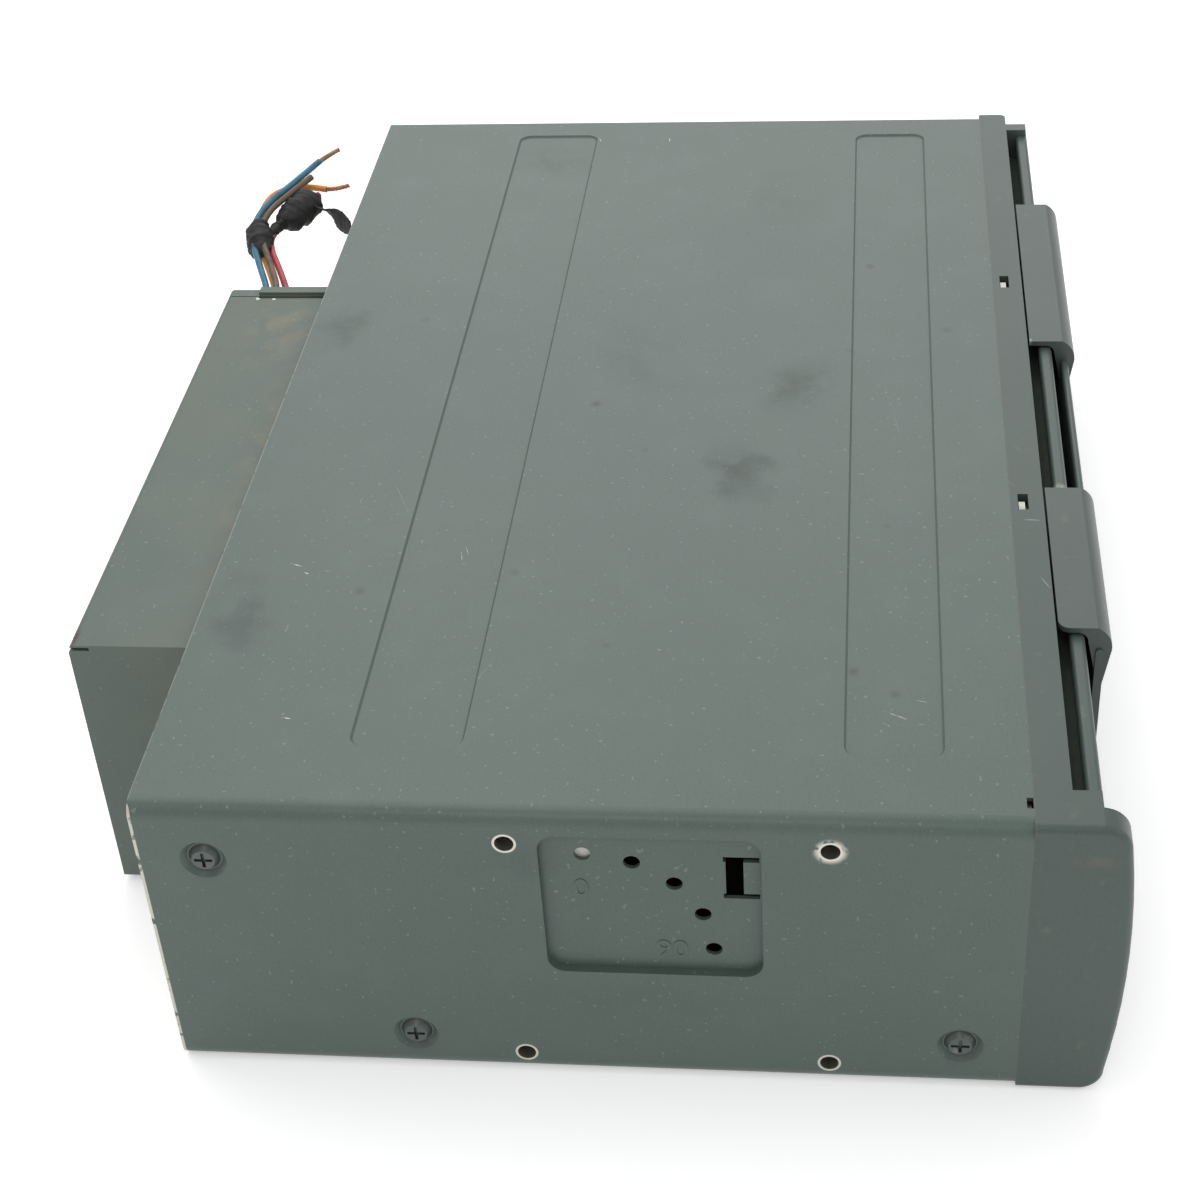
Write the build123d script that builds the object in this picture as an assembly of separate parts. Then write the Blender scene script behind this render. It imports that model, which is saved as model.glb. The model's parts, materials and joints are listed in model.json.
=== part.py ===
from build123d import *
import math
import os

# A car compact disc changer: a folded steel case on its side mounts, a moulded front with a hinged
# door, an add-on box on the back with cut-off leads, and the changer mechanism inside.
# Millimetres. X runs along the width, the front faces -Y, Z is up.
# The origin is the middle of the case's underside.

# ---------------------------------------------------------------- driving sizes
CASE_W = 265.0          # width over the side plates
CASE_D = 151.2          # depth of the metal cover
CASE_H = 62.3           # height over the cover
SHEET = 0.8             # cover and chassis sheet
COVER_BEND_R = 3.0      # outside radius of the cover's folds
LIP_W = 9.5             # width of the cover's lips under the base
FOLD_R = 2.6            # corners of the chassis inside the cover's folds
FRONT_GAP = 0.15        # seam between the cover and the moulded front
SEAT = 0.3              # clearance between pieces that do not touch
FIT = 0.05              # radial clearance of a running fit

# side plates, as (y, z) on the plate
SIDE_SCREWS = [(63.9, 50.3), (31.4, 8.8), (-65.4, 10.4)]
SCREW_HEAD_R = 2.8
SCREW_SHANK_R = 1.45
SCREW_LEN = 6.0
DIMPLE_R = 4.1
DIMPLE_DEPTH = 1.0
MOUNT_Y = -15.55        # centre of the four mounting holes
MOUNT_Z = 30.4
MOUNT_DY = 54.2
MOUNT_DZ = 51.1
MOUNT_HOLE_R = 1.65
COLLAR_WALL = 0.9
COLLAR_LEN = 2.4
POCKET_Y0 = -31.3
POCKET_Y1 = 6.1
POCKET_Z0 = 26.0
POCKET_Z1 = 57.9
POCKET_R = 3.2
POCKET_DEPTH = 1.6
LEVER_Y = -1.2          # pivot of the angle levers
LEVER_Z = 31.0
LEVER_R = 21.6          # radius of the ring of peep holes
PEEP_R = 1.45
LEVER_STEP = 22.5       # degrees between peep holes
LEVER_SWING = 90.0      # how far a lever turns
LEVER_T = 1.5
BRACKET_T = 1.0
RIVET_R = 2.5

# stamped panels on the cover, as (x0, x1, y0, y1)
PANELS = [(-116.0, 123.0, 20.5, 40.5), (-116.0, 122.0, -61.5, -44.5)]
PANEL_DEPTH = 0.4
PANEL_R = 3.0

# moulded front
FRONT_WALL = 1.8
STRIP_D = 6.45          # depth of the top strip
HINGE_Y = -85.7         # axis of the door's rail
HINGE_Z = 59.2
RAIL_W = 2.7
RAIL_H = 3.0
RAIL_ROUND = 0.9
GROOVE_R = 4.9
GROOVE_WALL = 1.1
GROOVE_X0 = -123.0
GROOVE_X1 = 123.6
NOSE_X0 = -127.2        # the front wall and rail run between these
NOSE_X1 = 127.0
CHEEK_W = 5.5
CHEEK_FRONT = 17.3      # how far the cheek stands out from the case
CATCH_XY = [(46.5, -78.1), (-39.9, -78.0)]
CATCH_W = 5.2           # along the front
CATCH_D = 2.0

# door
DOOR_X0 = -80.0
DOOR_X1 = 83.5
EAR_SPANS = [(-79.6, -35.0), (20.5, 83.5)]
SKIN_T = 1.5
SKIN_GAP = 2.5          # air between the front wall and the door's skin
DOOR_LOW_Z = 4.0
DOOR_NOTCH_Z = 57.4     # top of the skin between the ears
EAR_TAIL = 3.35         # how far the ears hook behind the hinge axis
EAR_INNER_R = 2.05
EAR_BULGE = 6.2         # how far the ears stand out in front of the axis

# eject button
BUTTON_X0 = 61.5
BUTTON_X1 = 78.5
BUTTON_Z0 = 27.5
BUTTON_Z1 = 42.5
BUTTON_STROKE = 2.6

# magazine and trays
DISC_R = 60.0
LEVELS = 6
PITCH = 5.2
TRAY_Z = 21.0           # underside of the lowest tray
TRAY_T = 2.0
TRAY_POCKET = 1.4
TRAY_HALF = 62.0        # half of a tray's width across the slide
TRAY_X0 = -74.5
TRAY_X1 = 48.0
TRAY_CX = -13.0         # disc centre of a tray in the magazine
TRAY_OUT = 76.5         # how far a tray slides out to the turntable
MAG_X0 = -77.0
MAG_X1 = 50.0
MAG_FRONT = -70.0
MAG_WALL = 1.6
MAG_Z0 = 17.7
LEDGE_T = 1.3
LEDGE_REACH = 2.6
PUSH_X = -54.0          # middle of the eject pusher

# play position
PLAY_X = TRAY_CX + TRAY_OUT
TURNTABLE_R = 11.5
HUB_R = 7.4
LENS_Y = -25.0          # lens at the inner end of its travel
PUCK_R = 11.0
CLAMP_Y = 62.3          # axis of the clamp arm's hinge
CLAMP_Z = 30.8
TRAVERSE_STUDS = [(112.0, -50.0), (112.0, 34.0), (61.0, 48.0)]
ROD_X = (57.8, 88.5)    # the two rods the pickup slides on
ROD_Z = 13.9
FEED_X = 95.2           # the pickup's feed screw
RAIL_START = 99.0       # the front tray rail starts past the pickup's travel

# floating deck
DECK_Z = 11.0
DECK_T = 1.2
POST_R = 1.5
SCREW_R = 1.6
SCREW_XY = (117.0, 69.6)
POSTS = [(117.0, -70.4), (58.0, -70.4), (58.0, 70.4)]
BRIDGE_Z = 57.2
DAMPERS = [(-112.0, 58.0), (-112.0, -58.0), (121.0, 42.0), (121.0, -45.0)]
DAMPER_R = 3.5

# lift gears under the deck
GEAR_MODULE = 0.5
PINION_TEETH = 14
IDLER_TEETH = 40
GEAR_T = 2.2
GEAR_Z = 3.0
IDLER_DIR = 226.0       # direction from the lift screw to the idler, degrees
MOTOR_DIR = 180.0       # direction from the idler to the motor
BACKLASH = 0.12

# add-on box on the back
BOX_X0 = -86.5
BOX_X1 = 47.5
BOX_BACK = 99.5
BOX_Z0 = 1.4
BOX_Z1 = 60.0
BOX_CAP_W = 2.9
LIP_BACK = 7.5          # where the end cap's raised lip stops short of the box's back
LIP_RISE = 0.8
BOX_BOARD_Y = 86.0      # front face of the box's circuit board
BOX_BOARD_T = 1.6
BOX_SCREW_Y = 7.0       # the end cap's screws, behind the case
BOX_SCREW_Z = (14.0, 36.0)

# leads
WIRE_D = 1.6
GROMMET_Y = 90.5
GROMMET_Z = 51.5
GROMMET_OUT = 1.4

# control board
BOARD_Z = 4.0           # underside of the main board
BOARD_T = 1.6
BOARD_POSTS = [(-98.0, 60.0), (40.0, 60.0), (40.0, -60.0), (-84.0, -60.0)]

# ---------------------------------------------------------------- worked out
HALF_W = CASE_W / 2
REAR_Y = CASE_D / 2
FRONT_Y = -CASE_D / 2 + FRONT_GAP
NOSE_Y = HINGE_Y - 1.0               # face of the moulded front wall
STRIP_Y = FRONT_Y - STRIP_D
MAG_Z1 = TRAY_Z + PITCH * (LEVELS - 1) + TRAY_T + 3.2
MAG_REAR = TRAY_HALF + 3.5
OPEN_X0 = MAG_X0 - 1.8
OPEN_X1 = MAG_X1 + 1.8
OPEN_Z0 = MAG_Z0 - 0.9
OPEN_Z1 = MAG_Z1 + 0.6
WALL_IN = HALF_W - SHEET             # inner face of a side plate
PLATE_IN = WALL_IN - POCKET_DEPTH    # inner face of a side pocket
LEVER_X = PLATE_IN - 1.0             # outer face of an angle lever
BRACKET_X = LEVER_X - LEVER_T - 0.4  # outer face of a lever bracket
FRONT_IN = FRONT_Y + 1.0             # inner face of the chassis' front wall
REAR_IN = REAR_Y - 1.6               # inner face of its rear wall
BOX_Y0 = REAR_IN + SHEET + 0.02      # the add-on box starts at the rear wall
BOX_CAP_X = BOX_X1 - BOX_CAP_W       # inner edge of the box's end cap
BOARD_TOP = BOARD_Z + BOARD_T
RAIL_Z = TRAY_Z - SEAT               # top of the carriage's tray rails
PULL_X = TRAY_X1 - 6.0               # the magazine is open to the puller from here
FLOOR_Z = MAG_Z0 - SEAT              # top of the magazine guide's floor
CARRIAGE_Z = DECK_Z + DECK_T + 0.8
END_Y = TRAY_HALF + 4.0              # inner faces of the carriage's end walls
END_T = 1.0
TRAVERSE_Z = TRAY_Z - 4.6
TRAVERSE_T = 1.0


# ---------------------------------------------------------------- helpers
def block(x0, x1, y0, y1, z0, z1):
    """A box between two corners."""
    centre = Pos((x0 + x1) / 2, (y0 + y1) / 2, (z0 + z1) / 2)
    return centre * Box(abs(x1 - x0), abs(y1 - y0), abs(z1 - z0))


def rod_x(radius, x0, x1, y, z):
    """A round bar along X."""
    return Pos((x0 + x1) / 2, y, z) * Rot(0, 90, 0) * Cylinder(radius, abs(x1 - x0))


def rod_y(radius, y0, y1, x, z):
    """A round bar along Y."""
    return Pos(x, (y0 + y1) / 2, z) * Rot(90, 0, 0) * Cylinder(radius, abs(y1 - y0))


def rod_z(radius, z0, z1, x, y):
    """A round bar along Z."""
    return Pos(x, y, (z0 + z1) / 2) * Cylinder(radius, abs(z1 - z0))


def along_x(sketch, x0, x1):
    """A (y, z) outline carried along X from x0 to x1."""
    return extrude(Plane.YZ.offset(x0) * sketch, x1 - x0)


def along_y(sketch, y0, y1):
    """An (x, z) outline carried along Y from y0 to y1."""
    return extrude(Plane.XZ.offset(-y1) * sketch, y1 - y0)


def along_z(sketch, z0, z1):
    """An (x, y) outline carried up from z0 to z1."""
    return extrude(Plane.XY.offset(z0) * sketch, z1 - z0)


def outline(points):
    """A closed straight-sided face through points."""
    return make_face(Polyline(*points, close=True))


def plate(x0, x1, y0, y1, z0, z1, radius):
    """A flat plate with rounded corners in plan."""
    shape = Pos((x0 + x1) / 2, (y0 + y1) / 2) * RectangleRounded(x1 - x0, y1 - y0, radius)
    return along_z(shape, z0, z1)


def both_sides(shape):
    """A shape and its mirror image across the middle of the case."""
    return Part() + [shape, mirror(shape, about=Plane.YZ)]


def gear(teeth, module, bore, thickness, phase, thinning=BACKLASH):
    """A spur gear with involute flanks, a tooth centred at the angle phase in degrees."""
    pressure = math.radians(20.0)
    pitch_r = module * teeth / 2
    base_r = pitch_r * math.cos(pressure)
    tip_r = pitch_r + module
    root_r = pitch_r - 1.25 * module
    spread = math.pi / (2 * teeth) - thinning / (2 * pitch_r)
    involute = math.tan(pressure) - pressure
    start_r = max(base_r, root_r + 0.02)
    profile = []
    for tooth in range(teeth):
        middle = math.radians(phase) + 2 * math.pi * tooth / teeth
        flank = []
        for step in range(4):
            radius = start_r + (tip_r - start_r) * step / 3
            bend = math.acos(min(1.0, base_r / radius))
            half = spread + involute - (math.tan(bend) - bend)
            flank.append((radius, half))
        first = flank[0][1]
        profile.append((root_r, middle - first))
        profile += [(radius, middle - half) for radius, half in flank]
        profile += [(radius, middle + half) for radius, half in reversed(flank)]
        profile.append((root_r, middle + first))
    points = [(r * math.cos(a), r * math.sin(a)) for r, a in profile]
    body = along_z(outline(points), 0, thickness)
    return body - Cylinder(bore, 4 * thickness)


def save(shape, name):
    """Writes one sub-part."""
    export_step(shape, f"parts/{name}.step")


# ---------------------------------------------------------------- folded steel case
def side_features():
    """What is cut from, and added to, the right-hand side plate."""
    pocket = along_x(
        Pos((POCKET_Y0 + POCKET_Y1) / 2, (POCKET_Z0 + POCKET_Z1) / 2)
        * RectangleRounded(POCKET_Y1 - POCKET_Y0, POCKET_Z1 - POCKET_Z0, POCKET_R),
        HALF_W - POCKET_DEPTH,
        HALF_W + 1,
    )
    backing = along_x(
        Pos((POCKET_Y0 + POCKET_Y1) / 2, (POCKET_Z0 + POCKET_Z1) / 2)
        * RectangleRounded(
            POCKET_Y1 - POCKET_Y0 + 2 * SHEET, POCKET_Z1 - POCKET_Z0 + 2 * SHEET, POCKET_R + SHEET
        ),
        PLATE_IN,
        WALL_IN,
    )
    added = Part() + backing
    cut = Part() + pocket
    for y, z in SIDE_SCREWS:
        dish = Rot(0, 90, 0) * Cone(DIMPLE_R - DIMPLE_DEPTH, DIMPLE_R, DIMPLE_DEPTH)
        back = Rot(0, 90, 0) * Cone(DIMPLE_R - DIMPLE_DEPTH + SHEET, DIMPLE_R + SHEET, DIMPLE_DEPTH)
        added += Pos(WALL_IN - DIMPLE_DEPTH / 2, y, z) * back
        cut += Pos(HALF_W - DIMPLE_DEPTH / 2, y, z) * dish
        cut += rod_x(SCREW_SHANK_R + FIT, WALL_IN - 3, HALF_W, y, z)
    for y, z in mount_holes():
        added += rod_x(MOUNT_HOLE_R + COLLAR_WALL, WALL_IN - COLLAR_LEN, WALL_IN, y, z)
        cut += rod_x(MOUNT_HOLE_R, WALL_IN - COLLAR_LEN - 1, HALF_W + 1, y, z)
    for step in range(int(LEVER_SWING / LEVER_STEP) + 1):
        angle = math.radians(90 + LEVER_STEP * step)
        y = LEVER_Y + LEVER_R * math.cos(angle)
        z = LEVER_Z + LEVER_R * math.sin(angle)
        cut += rod_x(PEEP_R, PLATE_IN - 1, HALF_W, y, z)
    bar_y = POCKET_Y0 + 4.6
    cut += block(PLATE_IN - 1, HALF_W, bar_y - 1.5, bar_y + 1.5, 43.2, 52.7)
    for z in (43.2, 51.6):
        cut += block(PLATE_IN - 1, HALF_W, POCKET_Y0 + 0.4, bar_y + 1.9, z, z + 1.1)
    return added, cut


def mount_holes():
    """The (y, z) places of the four mounting holes in one side plate."""
    return [
        (MOUNT_Y + dy * MOUNT_DY / 2, MOUNT_Z + dz * MOUNT_DZ / 2)
        for dy in (-1, 1)
        for dz in (-1, 1)
    ]


def top_cover():
    """The wrap-round cover: top, both sides and the lips under the base."""
    outer = Pos(0, CASE_H / 2) * RectangleRounded(CASE_W, CASE_H, COVER_BEND_R)
    inner = Pos(0, CASE_H / 2) * RectangleRounded(
        CASE_W - 2 * SHEET, CASE_H - 2 * SHEET, COVER_BEND_R - SHEET
    )
    gap = Pos(0, 0) * Rectangle(CASE_W - 2 * LIP_W, 4 * SHEET)
    cover = along_y(outer - inner - gap, FRONT_Y, REAR_Y)
    for x0, x1, y0, y1 in PANELS:
        shape = Pos((x0 + x1) / 2, (y0 + y1) / 2) * RectangleRounded(x1 - x0, y1 - y0, PANEL_R)
        wide = Plane.XY.offset(CASE_H) * shape
        cover += along_z(shape, CASE_H - SHEET - PANEL_DEPTH, CASE_H - SHEET)
        cover -= extrude(wide, -PANEL_DEPTH, taper=45)
    cover -= block(-127.7, -125.1, FRONT_Y - 1, FRONT_Y + 1.1, CASE_H - 2 * SHEET, CASE_H + 1)
    added, cut = side_features()
    cover = cover + both_sides(added) - both_sides(cut)
    return cover


def base_chassis():
    """The inner pan: floor, ledges over the cover's lips, side tabs, front and rear walls."""
    floor_x = HALF_W - LIP_W - SEAT
    side_x = WALL_IN - 0.1
    pan = block(-floor_x, floor_x, FRONT_Y + 0.2, REAR_Y - 0.2, 0, SHEET)
    middle = Pos(0, CASE_H / 2 - 0.3)
    wall = middle * RectangleRounded(2 * side_x, CASE_H - 2.2, FOLD_R)
    hollow = middle * RectangleRounded(2 * side_x - 2 * SHEET, CASE_H - 2.2 - 2 * SHEET, FOLD_R - SHEET)
    flange = along_y(wall - hollow, FRONT_IN, REAR_IN)
    flange &= block(floor_x - 4, side_x, FRONT_IN, REAR_IN, 0, 14.0)
    tab_y = SIDE_SCREWS[0][0]
    flange += block(side_x - SHEET, side_x, tab_y - 8, REAR_IN, 12.0, CASE_H - 5)
    sides = both_sides(flange)
    front = along_y(wall, FRONT_IN - SHEET, FRONT_IN)
    rear = along_y(wall, REAR_IN, REAR_IN + SHEET)
    front -= block(OPEN_X0, OPEN_X1, FRONT_IN - 2, FRONT_IN + 1, OPEN_Z0, OPEN_Z1)
    front -= block(BUTTON_X0 - 5, BUTTON_X1 + 5, FRONT_IN - 2, FRONT_IN + 1, 20.5, 49.5)
    rear -= block(-20, 20, REAR_IN - 1, REAR_IN + 2, 20, 32)
    for x in (62, 74, 86, 98, 110):
        slot = Pos(x, 34) * SlotOverall(24, 3.2, rotation=90)
        rear -= along_y(slot, REAR_IN - 1, REAR_IN + 2)
    lugs = Part()
    for x, y in CATCH_XY:
        lugs += block(x - 5, x + 5, y - 1.3, FRONT_IN, CASE_H - 3.2, CASE_H - 2.4)
        lugs += block(x - 5, x + 5, FRONT_IN - SHEET, FRONT_IN, CASE_H - 3.2, CASE_H - 1.4)
        near = x - CATCH_W / 2 + 0.2
        back = y + CATCH_D / 2 - 0.2
        lugs += block(near, x + CATCH_W / 2 - 1.5, y - 0.4, back, CASE_H - 3.0, CASE_H - 0.8)
    pan = pan + sides + front + rear + lugs
    for x in (-60, -20, 20):
        rib = Pos(x, 0) * SlotOverall(90, 5, rotation=90)
        pan -= along_z(rib, -1, 0.3)
    cuts = Part()
    for y, z in SIDE_SCREWS:
        cuts += rod_x(DIMPLE_R + SHEET + 0.5, side_x - 3 * SHEET, side_x + 1, y, z)
    for y, z in mount_holes():
        cuts += rod_x(MOUNT_HOLE_R + COLLAR_WALL + SEAT, side_x - 3, side_x + 1, y, z)
    pan -= both_sides(cuts)
    nuts = Part()
    for y, z in SIDE_SCREWS:
        x1 = WALL_IN - DIMPLE_DEPTH - 0.02
        nuts += block(x1 - 1.2, x1, y - 6.9, y + 6.9, z - 4, z + 4)
        nuts += block(x1 - 1.2, side_x, y + 5.8, y + 6.9, z - 4, z + 4)
        nuts += block(x1 - 1.2, side_x, y - 6.9, y - 5.8, z - 4, z + 4)
        nuts -= rod_x(SCREW_SHANK_R + FIT, x1 - 3, side_x, y, z)
    return pan + both_sides(nuts)


def cover_screws():
    """The three dimpled screws of each side plate."""
    one = Part()
    for y, z in SIDE_SCREWS:
        seat = HALF_W - DIMPLE_DEPTH
        head = Pos(seat + 0.55, y, z) * Rot(0, 90, 0) * Cone(SCREW_HEAD_R, SCREW_HEAD_R * 0.72, 1.1)
        shank = rod_x(SCREW_SHANK_R, seat - SCREW_LEN, seat, y, z)
        cross = block(seat + 0.3, seat + 2, y - 1.6, y + 1.6, z - 0.3, z + 0.3)
        cross += block(seat + 0.3, seat + 2, y - 0.3, y + 0.3, z - 1.6, z + 1.6)
        one += head + shank - cross
    return both_sides(one)


def lever_bracket():
    """The folded bracket that carries an angle lever inside the right-hand side plate."""
    x1 = BRACKET_X
    wall = along_x(
        outline([(-24, 2 * SHEET), (22, 2 * SHEET), (9, 39), (3, 41), (-6, 41), (-12, 39)]),
        x1 - BRACKET_T,
        x1,
    )
    foot = block(x1 - 9, x1, -24, 22, 2 * SHEET, 2 * SHEET + BRACKET_T)
    bracket = wall + foot - rod_x(RIVET_R + FIT, x1 - 2, x1 + 1, LEVER_Y, LEVER_Z)
    return bracket - rod_x(4.5, x1 - 2, x1 + 1, LEVER_Y, 14)


def lever_rivet():
    """The headed rivet an angle lever turns on."""
    shank = rod_x(RIVET_R, BRACKET_X - BRACKET_T - 0.1, LEVER_X + 0.1, LEVER_Y, LEVER_Z)
    head = rod_x(4.2, LEVER_X + 0.1, LEVER_X + 0.8, LEVER_Y, LEVER_Z)
    tail = rod_x(3.6, BRACKET_X - BRACKET_T - 1.0, BRACKET_X - BRACKET_T, LEVER_Y, LEVER_Z)
    return shank + head + tail


def angle_lever():
    """The lever whose pin shows through the peep holes of the right-hand side plate."""
    hub = Pos(LEVER_Y, LEVER_Z) * Circle(7.5)
    arm = Pos(LEVER_Y, LEVER_Z + LEVER_R / 2) * Rectangle(7.0, LEVER_R)
    end = Pos(LEVER_Y, LEVER_Z + LEVER_R) * Circle(3.5)
    hook = Pos(LEVER_Y, LEVER_Z - 8) * Rectangle(5.0, 14.0)
    tip = Pos(LEVER_Y, LEVER_Z - 15) * Circle(4.0)
    shape = hub + arm + end + hook + tip
    shape -= Pos(LEVER_Y, LEVER_Z - 15) * Circle(1.6)
    shape -= Pos(LEVER_Y, LEVER_Z) * Circle(RIVET_R + FIT)
    lever = along_x(shape, LEVER_X - LEVER_T, LEVER_X)
    pin = rod_x(2.1, LEVER_X, PLATE_IN - SEAT, LEVER_Y, LEVER_Z + LEVER_R)
    return lever + pin


# ---------------------------------------------------------------- moulded front
def front_fascia():
    """The moulded front: top strip, rail in its groove, front wall and the near end cheek."""
    axis = Pos(HINGE_Y, HINGE_Z)
    strip = block(NOSE_X0, HALF_W, STRIP_Y, FRONT_Y, CASE_H - FRONT_WALL, CASE_H)
    strip = fillet(strip.edges().filter_by(Axis.Z).sort_by(Axis.X)[-2:].sort_by(Axis.Y)[:1], 1.4)
    floor = block(NOSE_X0, NOSE_X1, NOSE_Y, FRONT_Y, 0, FRONT_WALL)
    floor += block(NOSE_X1 - 2, HALF_W, STRIP_Y, FRONT_Y, 0, FRONT_WALL)
    wall = block(NOSE_X0, NOSE_X1, NOSE_Y, NOSE_Y + FRONT_WALL, 0, HINGE_Z - 1)
    shell = axis * Circle(GROOVE_R + GROOVE_WALL)
    shell &= Pos(NOSE_Y + 10, HINGE_Z - 4.05) * Rectangle(20, 14.3)
    trough = along_x(shell, NOSE_X0, NOSE_X1)
    ends = block(NOSE_X0, GROOVE_X0, NOSE_Y + 0.4, STRIP_Y + 1, HINGE_Z - 2, CASE_H - 1.4)
    ends += block(GROOVE_X1, NOSE_X1, NOSE_Y + 0.4, STRIP_Y + 1, HINGE_Z - 2, CASE_H - 1.4)
    body = strip + floor + wall + trough
    body -= rod_x(GROOVE_R, GROOVE_X0, GROOVE_X1, HINGE_Y, HINGE_Z)
    body -= block(GROOVE_X0, GROOVE_X1, NOSE_Y - 3, STRIP_Y, HINGE_Z, CASE_H + 1)
    body += ends
    body += block(NOSE_X0, NOSE_X1, NOSE_Y, NOSE_Y + FRONT_WALL, HINGE_Z - 6.5, HINGE_Z - 0.9)
    rail = along_x(axis * RectangleRounded(RAIL_W, RAIL_H, RAIL_ROUND), NOSE_X0, NOSE_X1)
    body += rail
    far_wall = block(HALF_W - FRONT_WALL, HALF_W, STRIP_Y, FRONT_Y, 0, CASE_H - 0.5)
    far_wall += block(NOSE_X1 - 2, HALF_W, STRIP_Y, STRIP_Y + FRONT_WALL, 0, CASE_H - 0.5)
    far_wall += block(NOSE_X1 - FRONT_WALL, NOSE_X1, NOSE_Y, STRIP_Y + 1, 0, HINGE_Z)
    body += far_wall
    body = body + near_cheek()
    body -= block(OPEN_X0, OPEN_X1, NOSE_Y - 1, NOSE_Y + 3, OPEN_Z0, OPEN_Z1)
    body += block(OPEN_X0 - 1.2, OPEN_X0, NOSE_Y, FRONT_Y - 0.5, OPEN_Z0 - 1.2, OPEN_Z1 - 2)
    body += block(OPEN_X1, OPEN_X1 + 1.2, NOSE_Y, FRONT_Y - 0.5, OPEN_Z0 - 1.2, OPEN_Z1 - 2)
    body += block(OPEN_X0 - 1.2, OPEN_X1 + 1.2, NOSE_Y, FRONT_Y - 0.5, OPEN_Z0 - 1.2, OPEN_Z0)
    gap = SEAT + 0.1
    hole = block(
        BUTTON_X0 - gap, BUTTON_X1 + gap, NOSE_Y - 1, NOSE_Y + 3, BUTTON_Z0 - gap, BUTTON_Z1 + gap
    )
    body -= hole
    for x, y in CATCH_XY:
        body -= block(x - CATCH_W / 2, x + CATCH_W / 2, y - CATCH_D / 2, y + CATCH_D / 2, 56, 70)
    for x in (-110, -95, 90, 108):
        body += block(x - 0.6, x + 0.6, NOSE_Y + 1, FRONT_Y - 1.0, 1, 50)
    return body


def near_cheek():
    """The bowed end cheek that stands out beside the door."""
    deep = FRONT_Y - CHEEK_FRONT
    bow = [
        Line((FRONT_Y, 0), (deep + 6.2, 0)),
        ThreePointArc((deep + 6.2, 0), (deep + 3.4, 1.4), (deep + 2.2, 4.6)),
        ThreePointArc((deep + 2.2, 4.6), (deep, 34.0), (deep + 1.4, 57.6)),
        ThreePointArc((deep + 1.4, 57.6), (deep + 3.0, 60.9), (deep + 6.2, CASE_H)),
        Line((deep + 6.2, CASE_H), (FRONT_Y, CASE_H)),
        Line((FRONT_Y, CASE_H), (FRONT_Y, 0)),
    ]
    cheek = along_x(make_face(bow), -HALF_W, -HALF_W + CHEEK_W)
    outer = cheek.faces().sort_by(Axis.X)[0].edges().filter_by(lambda e: e.center().Y < FRONT_Y - 1)
    cheek = fillet(outer, 1.3)
    hollow = block(-HALF_W + 1.8, -HALF_W + CHEEK_W - 1.4, deep + 6.0, FRONT_Y + 1, 5.0, 57.0)
    return cheek - hollow


def door_flap():
    """The door: a thin skin with two hooked ears that snap over the rail."""
    axis_z = HINGE_Z
    skin_in = NOSE_Y - SKIN_GAP
    skin_out = skin_in - SKIN_T
    bulge = HINGE_Y - EAR_BULGE
    low_in = skin_in + 1.4
    low_out = skin_out + 1.8
    skin = [
        Line((skin_in, 18), (skin_in, DOOR_NOTCH_Z - 0.4)),
        ThreePointArc(
            (skin_in, DOOR_NOTCH_Z - 0.4),
            (skin_in - SKIN_T / 2, DOOR_NOTCH_Z + 0.35),
            (skin_out, DOOR_NOTCH_Z - 0.4),
        ),
        Line((skin_out, DOOR_NOTCH_Z - 0.4), (skin_out, 18)),
        ThreePointArc((skin_out, 18), (skin_out + 0.4, 10), (low_out, DOOR_LOW_Z)),
        Line((low_out, DOOR_LOW_Z), (low_in, DOOR_LOW_Z)),
        ThreePointArc((low_in, DOOR_LOW_Z), (skin_in + 0.35, 10), (skin_in, 18)),
    ]
    door = along_x(make_face(skin), DOOR_X0, DOOR_X1)
    tail = HINGE_Y + EAR_TAIL
    arc_r = EAR_INNER_R
    lean = arc_r * math.sin(math.radians(45))
    ear = [
        Line((tail, axis_z + arc_r - 0.05), (tail, CASE_H)),
        Line((tail, CASE_H), (HINGE_Y - 3.6, CASE_H)),
        ThreePointArc(
            (HINGE_Y - 3.6, CASE_H), (HINGE_Y - 5.6, axis_z + 1.3), (bulge, axis_z - 2.6)
        ),
        ThreePointArc(
            (bulge, axis_z - 2.6), (bulge + 0.45, axis_z - 5.4), (skin_out, axis_z - 10.0)
        ),
        Line((skin_out, axis_z - 10.0), (skin_out, axis_z - 14.0)),
        Line((skin_out, axis_z - 14.0), (skin_in, axis_z - 14.0)),
        Line((skin_in, axis_z - 14.0), (skin_in, axis_z - 6.5)),
        Line((skin_in, axis_z - 6.5), (HINGE_Y - arc_r, axis_z)),
        ThreePointArc(
            (HINGE_Y - arc_r, axis_z), (HINGE_Y - lean, axis_z + lean), (HINGE_Y, axis_z + arc_r)
        ),
        Line((HINGE_Y, axis_z + arc_r), (tail, axis_z + arc_r - 0.05)),
    ]
    profile = make_face(ear)
    for index, (x0, x1) in enumerate(EAR_SPANS):
        piece = along_x(profile, x0, x1)
        if index == 0:
            corner = piece.edges().filter_by(Axis.Z).sort_by(Axis.Y)[-2:].sort_by(Axis.X)[:1]
            piece = fillet(corner, 2.2)
        door += piece
    for x in (-60.0, 0.0, 60.0):
        door += block(x - 0.6, x + 0.6, skin_in, skin_in + 0.9, 20, 44)
    return door


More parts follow.
